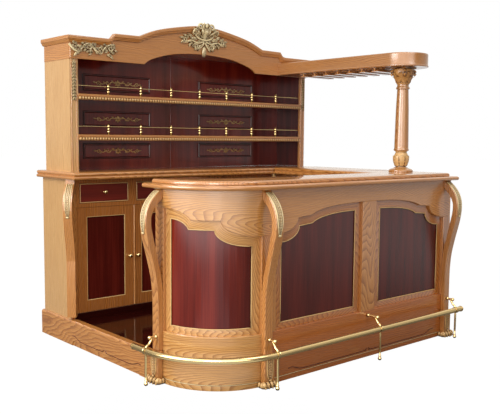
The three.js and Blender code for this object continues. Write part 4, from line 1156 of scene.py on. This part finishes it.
# Each tendril: its first marks, the scroll that it ends in, and how thick it starts and ends.
CREST_TENDRILS = (([(6, 10), (26, 42), (34, 66)], (50, 84, 24, 190, -1.3), 9, 4),
                  ([(0, -4), (44, 4), (74, 26)], (92, 44, 24, 200, -1.2), 9, 4),
                  ([(8, -14), (60, -26), (104, -14), (140, -20)], (160, -8, 20, 250, 1.1), 8, 3.5),
                  ([(4, -20), (30, -52), (52, -58)], (66, -46, 20, 260, 1.2), 8, 3.5))
# Each leaf: where it starts, its direction in degrees, and for the large ones its length and half width.
CREST_LEAVES = ((0, 30, 62, 62, 15), (10, 44, 96, 50, 13), (36, 20, 38, 58, 14), (60, 0, 4, 70, 14),
                (100, 10, 24, 54, 11), (130, -20, -10, 70, 12), (160, -6, 12, 58, 10), (70, -24, -46, 52, 12),
                (30, -30, -66, 60, 13), (100, -22, -32, 46, 10), (0, -50, -80, 66, 12), (52, 66, 20, 46, 10),
                (88, 40, 58, 40, 9))
CREST_LEAFLETS = ((20, 4, 75), (34, -8, -20), (48, 12, 60), (80, -10, 40), (64, 30, 80), (110, -4, -50),
                  (18, -34, -30), (44, -48, -60), (20, 60, 50), (26, 84, 110), (84, -36, -20), (140, -2, 60),
                  (120, -26, -70), (176, -14, -40), (70, 56, 10), (10, 20, 20), (150, 8, 30), (58, -62, -20))
CREST_LEAF_UP = 13
LEAFLET_SIZE = (34, 9, 17)
CREST_SHELL, CREST_DROP = (0, -10, 90, 100, 24, 20), (0, -40, -90, 80, 15, 15)


def crest():
    """The gilt cartouche on the arch: a boss and shell over paired scrolls, leafy arms and a drop."""
    parts = [ball(at(*CREST_BOSS), CREST_BOSS_R)]
    for side in (1, -1):
        to = facing(CREST_X, CREST_Z, CREST_Y, side, CREST_OVER)
        parts += [stroke(to, marks + curl(*scroll), thick, thin)
                  for marks, scroll, thick, thin in CREST_TENDRILS]
        parts += [leaf(to, *shape, CREST_LEAF_UP) for shape in CREST_LEAVES]
        parts += [leaf(to, *shape, *LEAFLET_SIZE) for shape in CREST_LEAFLETS]
    to = facing(CREST_X, CREST_Z, CREST_Y, 1, CREST_OVER)
    parts.append(leaf(to, *CREST_SHELL))
    parts.append(leaf(to, *CREST_DROP))
    piece("crest", merged(parts), gilding, sharp=60)


CARVING_PLACE = (-243, 1873, 968)
CARVING_SCROLLS = (-118, -40, 38, 112)
CARVING_MARKS, CARVING_CURL = ((-52, -14), (-26, 14), (-4, 26)), (8, 8, 22, 90, -1.3)
CARVING_RING = 12
CARVING_LEAF, FILL_LEAF = (9, 11), (30, 8, 15)
CARVING_LEAVES = ((16, 40), (48, 36), (-40, 36), (138, 36), (-146, 34), (180, 34))
CARVING_END, CARVING_ENDS = 112, (-30, -10, 12, 32)
END_SPREAD, END_LONG, END_SHORT = 1.6, 46, 42
# Small leaves fill the gaps, swung to and fro by uneven steps.
CARVING_FILL, FILL_START, FILL_STEP = 36, -140, 8.4
FILL_HIGH, FILL_SWING = 32, 36


def corner_carving():
    """The gilt scroll block on the cornice's left end."""
    to = facing(*CARVING_PLACE)
    parts = []
    for i, a in enumerate(CARVING_SCROLLS):
        up = 1 if i % 2 else -1
        marks = [(a + x, z * up) for x, z in CARVING_MARKS]
        x, z, radius, start, turns = CARVING_CURL
        marks += curl(a + x, z * up, radius, start * up, turns * up)
        parts.append(stroke(to, marks, 7, 3))
        for turn, length in CARVING_LEAVES:
            x, z = CARVING_RING * math.cos(math.radians(turn)), CARVING_RING * math.sin(math.radians(turn))
            parts.append(leaf(to, a + x, z, turn * up, length, *CARVING_LEAF))
    for b in CARVING_ENDS:
        parts.append(leaf(to, CARVING_END, b, END_SPREAD * b, END_LONG, *CARVING_LEAF))
        parts.append(leaf(to, -CARVING_END, b, 180 - END_SPREAD * b, END_SHORT, *CARVING_LEAF))
    for i in range(CARVING_FILL):
        x, z = FILL_START + FILL_STEP * i, FILL_HIGH * math.sin(2.4 * i)
        parts.append(leaf(to, x, z, FILL_SWING * math.sin(5.1 * i) + 180 * (i % 2), *FILL_LEAF))
    piece("corner_carving", merged(parts), gilding, sharp=60)


PLINTH_FACE, BASE_FACE = -420.2, -394.2
APRON_START = 170
APRON_ENDS = {"left": 955, "front": 1514}
# A cut line's marks: from its far end, then from its middle.
APRON_FAR = ((0, 62), (30, 64), (62, 54), (100, 44), (160, 42))
APRON_NEAR = [(36, 42), (20, 45), (8, 55)]
APRON_LEVEL, APRON_THICK = 42, 2.2


def apron_lines():
    """A cut line along the left plinth and along the front, dipping at its ends and curling in its middle,
    drawn as a raised line of dark mahogany whose darkness is painted shade in place of the groove's shade.
    """
    for name, end in APRON_ENDS.items():
        middle, far = (APRON_START + end) / 2, (end - APRON_START) / 2
        marks = [(far - a, b) for a, b in APRON_FAR] + [(far / 2, APRON_LEVEL)] + APRON_NEAR
        parts = []
        for way in (-1, 1):
            def to(a, b, h):
                s, out = middle + way * a, h * 0.5
                return at(PLINTH_FACE - out, s, b) if name == "left" else at(s, BASE_FACE - out, b)

            parts.append(stroke(to, marks, APRON_THICK, APRON_THICK))
        # Dark mahogany for the raised line: painted shade standing in for the shade in a cut groove.
        piece("apron_line_" + name, merged(parts), mahogany_deep, sharp=60)


CORBEL_X, CORBEL_SCALE, CORBEL_IN = -405, 0.887, 20


def corbel_leaf():
    """The gilt leaf on the cabinet's corner corbel, which stands at 45 degrees."""
    slant = math.sqrt(0.5)

    def point(r, w, z):
        out = (r - FACE_R - GAP) * CORBEL_SCALE - CORBEL_IN
        return at(CORBEL_X - slant * (out - w), CABINET_Y - slant * (out + w), z)

    band("corbel_leaf", point, LEAF_LINE, CORBEL_LEAF_HALF, gilt_leaf)


STILE_DROPS = (("left", -373, 18), ("right", 1639, 15))
STILE_DROP_TOP, STILE_LEAVES, STILE_LEAF_STEP = 1795, 12, 20
STILE_LEAF_TURNS, STILE_LEAF_START, STILE_LEAF = (-62, -118), -8, (30, 7, 9)
STILE_STEM = ((0, 0), (2, -80), (-2, -160), (0, -246))
STILE_ENDS, STILE_BEAD = (1100, 1800), 2.6


def stile_drops():
    """A carved gilt drop on the upper part of each hutch stile, between two fine beads."""
    for name, x, apart in STILE_DROPS:
        to = facing(x, STILE_DROP_TOP, CABINET_Y)
        parts = []
        for i in range(STILE_LEAVES):
            for angle in STILE_LEAF_TURNS:
                parts.append(leaf(to, 0, STILE_LEAF_START - STILE_LEAF_STEP * i, angle, *STILE_LEAF))
        parts.append(stroke(to, STILE_STEM, 4, 3))
        piece("stile_drop_" + name, merged(parts), gilt_leaf, sharp=60)
        beads = [tube([at(x + a, CABINET_Y, z) for z in STILE_ENDS], STILE_BEAD, 8) for a in (-apart, apart)]
        piece("stile_beads_" + name, merged(beads), oak_z, sharp=60)


PANEL_ROWS = ((1172, 1272), (1390, 1491), (1631, 1737))
PANEL_PLACES = (("left", 113), ("right", 1084))
PANEL_Y, PANEL_HALF = 1272, 265
SPRAY_FLIP = 1.1
SPRAY_TENDRILS = (([(8, 0), (40, 8), (62, -4)], (74, 4, 13, 240, 1.1), 4, 2),
                  ([(84, 4), (110, -8), (128, 2)], (140, -2, 12, 120, -1.1), 3.6, 2))
SPRAY_LEAVES = ((0, 0, 35, 26, 7, 6), (0, 0, -35, 26, 7, 6), (26, 4, 40, 26, 6, 5), (50, 2, -36, 26, 6, 5),
                (90, 0, 40, 24, 5, 5), (116, -4, -30, 24, 5, 5), (150, 0, 8, 28, 5, 5))
SPRAY_MIDDLE = ((0, 0, 90, 28, 9, 8), (0, 0, -90, 24, 9, 8))
# The border's section: how far out from the panel's edge, and its place front to back.
PANEL_BORDER = ((3, 1282), (3, 1270), (0, 1266.5), (-6, 1266.5), (-10, 1269), (-12, 1273), (-12, 1282))


def panel_carvings():
    """Dull gilt sprays on the six raised panels, each with a border bead."""
    for row, (z0, z1) in enumerate(PANEL_ROWS, 1):
        for name, x in PANEL_PLACES:
            parts = []
            for side in (1, -1):
                to = facing(x, (z0 + z1) / 2, PANEL_Y, side * SPRAY_FLIP)
                parts += [stroke(to, marks + curl(*scroll), thick, thin)
                          for marks, scroll, thick, thin in SPRAY_TENDRILS]
                parts += [leaf(to, *shape) for shape in SPRAY_LEAVES]
            to = facing(x, (z0 + z1) / 2, PANEL_Y)
            parts += [leaf(to, *shape) for shape in SPRAY_MIDDLE]
            piece("panel_spray_%s_%d" % (name, row), merged(parts), gilt_wood, sharp=60)
            rim = []
            for grow, y in PANEL_BORDER:
                half, low, high = PANEL_HALF + grow, z0 - grow, z1 + grow
                corners = ((-half, low), (half, low), (half, high), (-half, high), (-half, low))
                rim.append([at(x + a, y, z) for a, z in corners])
            piece("panel_border_%s_%d" % (name, row), hoop(rim), mahogany_deep, sharp=25)


FINISHES = ((oak_plinth, ["plinth_left"]),
            (oak_y, ["plinth_right", "cornice_left", "cornice_right", "glass_rack"]),
            (oak_x, ["plinth_back", "hutch_top", "bar_shelf", "drawer_deck"]),
            (oak_pale, ["cabinet_side_left", "hutch_side_left"]),
            (oak_inner, ["face_frame"] + ["door_%d" % n for n in FOUR]),
            (mahogany_round, ["front_panel_curved"]),
            (mahogany_front_shaded, ["front_panel_left", "front_panel_right"]),
            (mahogany_deep, ["cabinet_back"] + ["door_panel_%d" % n for n in FOUR]),
            (mahogany_z, ["hutch_back"]),
            (mahogany_x, ["shelf_lower", "shelf_upper"]),
            (mahogany_deck, ["deck"]),
            (mahogany_satin, ["drawer_%d" % n for n in FOUR]))


def look():
    """Finishes for the CAD nodes that stay on show: upright oak, unless another is listed."""
    listed = {name: finish for finish, names in FINISHES for name in names}
    for name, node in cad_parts.items():
        node.data.materials.clear()
        node.data.materials.append(listed.get(name, oak_z))


EYE = at(-2626.8, -3247.2, 1320)
TURN_DEG, DOWN_DEG, LEAN_DEG = -41.3, 5.30, 0.52
LENS, SENSOR = 53.55, 36


def camera():
    """A camera at the photo's place and angle."""
    turn, down, lean = (math.radians(a) for a in (TURN_DEG, DOWN_DEG, LEAN_DEG))
    ahead = Vector((-math.sin(turn) * math.cos(down), math.cos(turn) * math.cos(down), -math.sin(down)))
    right = Vector((math.cos(turn), math.sin(turn), 0))
    up = right.cross(ahead)
    side = right * math.cos(lean) + up * math.sin(lean)
    top = up * math.cos(lean) - right * math.sin(lean)
    data = bpy.data.cameras.new("camera")
    data.lens = LENS
    data.sensor_width = SENSOR
    data.sensor_fit = "HORIZONTAL"
    eye = bpy.data.objects.new("camera", data)
    eye.matrix_world = Matrix.Translation(EYE) @ Matrix((side, top, -ahead)).transposed().to_4x4()
    bpy.context.scene.collection.objects.link(eye)
    bpy.context.scene.camera = eye


LAMP_AIM = Vector((-0.2, 0, 1.0))


def lamp(name, place, size, power):
    """A soft square lamp that looks at the middle of the bar."""
    data = bpy.data.lights.new(name, "AREA")
    data.shape = "SQUARE"
    data.size = size
    data.energy = power
    light = bpy.data.objects.new(name, data)
    light.location = place
    light.rotation_euler = (LAMP_AIM - place).to_track_quat("-Z", "Y").to_euler()
    bpy.context.scene.collection.objects.link(light)


def sheet(name, points, material, z=0):
    """A flat sheet of the studio."""
    mesh = bpy.data.meshes.new(name)
    mesh.from_pydata(points, [], [tuple(range(len(points)))])
    mesh.materials.append(material)
    shown = bpy.data.objects.new(name, mesh)
    shown.location.z = z
    bpy.context.scene.collection.objects.link(shown)


WHITE, FLOOR_GREY, WARM_WHITE = "#ffffff", "#7d7b78", "#fff7ee"
FLOOR_HALF = 40
FLOOR_SHARE, FLOOR_GLOW = 0.84, 1.17
# Where the floor grows bright in mirrors, to the right and towards the screen, in metres.
FLOOR_RIGHT, FLOOR_LEFT = (1.4, 4.0), (4.8, 6.5)
FLOOR_RIGHT_SHARE = 0.7
# The white screen to the left, which polished wood mirrors: its strength and the way to it.
SCREEN = 3.3
SCREEN_WAY = (-0.866, -0.5, 0)
# Where the surround's lights start and are full, as the share of a sight line that goes their way.
RIGHT_FROM, RIGHT_FULL, RIGHT_LOW, RIGHT_HIGH = 0.25, 0.6, 0.2, 0.6
BACK_FROM, BACK_FULL, BACK_HIGH = -0.3, 0.6, 0.3
ABOVE_FROM, ABOVE_FULL, ABOVE_HIGH = 0.35, 0.8, 0.8
SCREEN_FROM, SCREEN_FULL = 0.42, 0.58
SCREEN_FOOT, SCREEN_RISEN = -0.12, 0.05
# The white card before the corner: metres away from it, and to the side.
CARD = ((0.06, -0.5), (1.2, -0.75), (4.6, -1.1), (4.6, 1.1), (1.2, 0.75), (0.06, 0.5))
CARD_GLOW = 0.8
CARD_AHEAD, CARD_ASIDE = Vector((-0.751, -0.660, 0)), Vector((0.660, -0.751, 0))
CARD_START = at(-255, -255, 0)


def floor():
    """A pale floor that keeps the shadow: white to the camera, and bright to both sides in mirrors."""
    material, tree = blank("studio floor")
    ray = put(tree, "ShaderNodeLightPath")
    paint = put(tree, "ShaderNodeBsdfDiffuse", {"Color": colour(FLOOR_GREY)})
    place = put(tree, "ShaderNodeNewGeometry").outputs["Position"]
    spread = put(tree, "ShaderNodeSeparateXYZ", {0: place})
    right = put(tree, "ShaderNodeMapRange", {"Value": spread.outputs["X"], "From Min": FLOOR_RIGHT[0],
                                             "From Max": FLOOR_RIGHT[1], "To Max": FLOOR_RIGHT_SHARE})
    ahead = put(tree, "ShaderNodeVectorMath", {0: place, 1: SCREEN_WAY}, operation="DOT_PRODUCT")
    left = put(tree, "ShaderNodeMapRange", {"Value": ahead.outputs["Value"], "From Min": FLOOR_LEFT[0],
                                            "From Max": FLOOR_LEFT[1]})
    sides = put(tree, "ShaderNodeMath", {0: right.outputs["Result"], 1: left.outputs["Result"]},
                operation="ADD")
    shine = put(tree, "ShaderNodeMath", {0: sides.outputs["Value"], 1: ray.outputs["Is Glossy Ray"]},
                operation="MULTIPLY")
    share = put(tree, "ShaderNodeMix", {"Factor": ray.outputs["Is Camera Ray"], "A": shine.outputs["Value"],
                                        "B": FLOOR_SHARE})
    screen = put(tree, "ShaderNodeMath", {0: left.outputs["Result"], 1: ray.outputs["Is Glossy Ray"]},
                 operation="MULTIPLY")
    power = put(tree, "ShaderNodeMix", {"Factor": screen.outputs["Value"], "A": FLOOR_GLOW, "B": SCREEN})
    glow = put(tree, "ShaderNodeEmission", {"Color": colour(WHITE), "Strength": power.outputs["Result"]})
    both = put(tree, "ShaderNodeMixShader", {"Fac": share.outputs["Result"], 1: paint.outputs["BSDF"],
                                             2: glow.outputs["Emission"]})
    put(tree, "ShaderNodeOutputMaterial", {"Surface": both.outputs["Shader"]})
    corners = [(-FLOOR_HALF, -FLOOR_HALF, 0), (FLOOR_HALF, -FLOOR_HALF, 0), (FLOOR_HALF, FLOOR_HALF, 0),
               (-FLOOR_HALF, FLOOR_HALF, 0)]
    sheet("floor", corners, material, -MM)


def white_card():
    """A white card on the floor before the rounded corner, which lights it from below."""
    material, tree = blank("white card")
    ray = put(tree, "ShaderNodeLightPath")
    level = put(tree, "ShaderNodeMix", {"Factor": ray.outputs["Is Camera Ray"], "A": CARD_GLOW, "B": 1.0})
    lit = put(tree, "ShaderNodeEmission", {"Color": colour(WHITE), "Strength": level.outputs["Result"]})
    put(tree, "ShaderNodeOutputMaterial", {"Surface": lit.outputs["Emission"]})
    sheet("white_card", [CARD_START + CARD_AHEAD * far + CARD_ASIDE * wide for far, wide in CARD], material)


def surround():
    """White to the camera; to the wood soft light from the right, the back and above, and the screen."""
    world = bpy.data.worlds.new("studio")
    world.use_nodes = True
    tree = world.node_tree
    tree.nodes.clear()
    ray = put(tree, "ShaderNodeLightPath")
    sight = put(tree, "ShaderNodeTexCoord").outputs["Generated"]
    way = put(tree, "ShaderNodeSeparateXYZ", {0: sight})
    side = put(tree, "ShaderNodeMapRange", {"Value": way.outputs["X"], "From Min": RIGHT_FROM,
                                            "From Max": RIGHT_FULL, "To Min": RIGHT_LOW,
                                            "To Max": RIGHT_HIGH})
    back = put(tree, "ShaderNodeMapRange", {"Value": way.outputs["Y"], "From Min": BACK_FROM,
                                            "From Max": BACK_FULL, "To Max": BACK_HIGH})
    over = put(tree, "ShaderNodeMapRange", {"Value": way.outputs["Z"], "From Min": ABOVE_FROM,
                                            "From Max": ABOVE_FULL, "To Max": ABOVE_HIGH})
    walls = put(tree, "ShaderNodeMath", {0: side.outputs["Result"], 1: back.outputs["Result"]},
                operation="ADD")
    soft = put(tree, "ShaderNodeMath", {0: walls.outputs["Value"], 1: over.outputs["Result"]},
               operation="ADD")
    aside = put(tree, "ShaderNodeVectorMath", {0: sight, 1: SCREEN_WAY}, operation="DOT_PRODUCT")
    screen = put(tree, "ShaderNodeMapRange", {"Value": aside.outputs["Value"], "From Min": SCREEN_FROM,
                                              "From Max": SCREEN_FULL, "To Max": SCREEN})
    above = put(tree, "ShaderNodeMapRange", {"Value": way.outputs["Z"], "From Min": SCREEN_FOOT,
                                             "From Max": SCREEN_RISEN})
    seen = put(tree, "ShaderNodeMath", {0: screen.outputs["Result"], 1: above.outputs["Result"]},
               operation="MULTIPLY")
    shine = put(tree, "ShaderNodeMath", {0: seen.outputs["Value"], 1: ray.outputs["Is Glossy Ray"]},
                operation="MULTIPLY")
    total = put(tree, "ShaderNodeMath", {0: soft.outputs["Value"], 1: shine.outputs["Value"]},
                operation="ADD")
    level = put(tree, "ShaderNodeMix", {"Factor": ray.outputs["Is Camera Ray"], "A": total.outputs["Value"],
                                        "B": 1.0})
    tint = put(tree, "ShaderNodeMix", {"Factor": ray.outputs["Is Camera Ray"], "A": colour(WARM_WHITE),
                                       "B": colour(WHITE)}, data_type="RGBA")
    sky = put(tree, "ShaderNodeBackground", {"Color": tint.outputs["Result"],
                                             "Strength": level.outputs["Result"]})
    put(tree, "ShaderNodeOutputWorld", {"Surface": sky.outputs["Background"]})
    bpy.context.scene.world = world


def studio():
    """The floor, the card, the surround and three soft lamps."""
    floor()
    white_card()
    surround()
    lamp("key", Vector((-4.7, 0.0, 2.5)), 2.6, 178)
    lamp("strip", EYE + Vector((-0.5, 0.3, 0.5)), 1.2, 50)
    lamp("front", Vector((0.4, -3.4, 4.4)), 2.0, 55)
    bpy.context.scene.view_settings.view_transform = "Standard"


look()
front_face()
counters()
slabs()
for name, place in LEG_PLACES.items():
    leg(name, place)
rail_and_brackets()
hutch()
gallery()
cornice()
canopy()
column()
doors_and_drawers()
toe_shade_board()
crest()
corner_carving()
apron_lines()
corbel_leaf()
stile_drops()
panel_carvings()
camera()
studio()
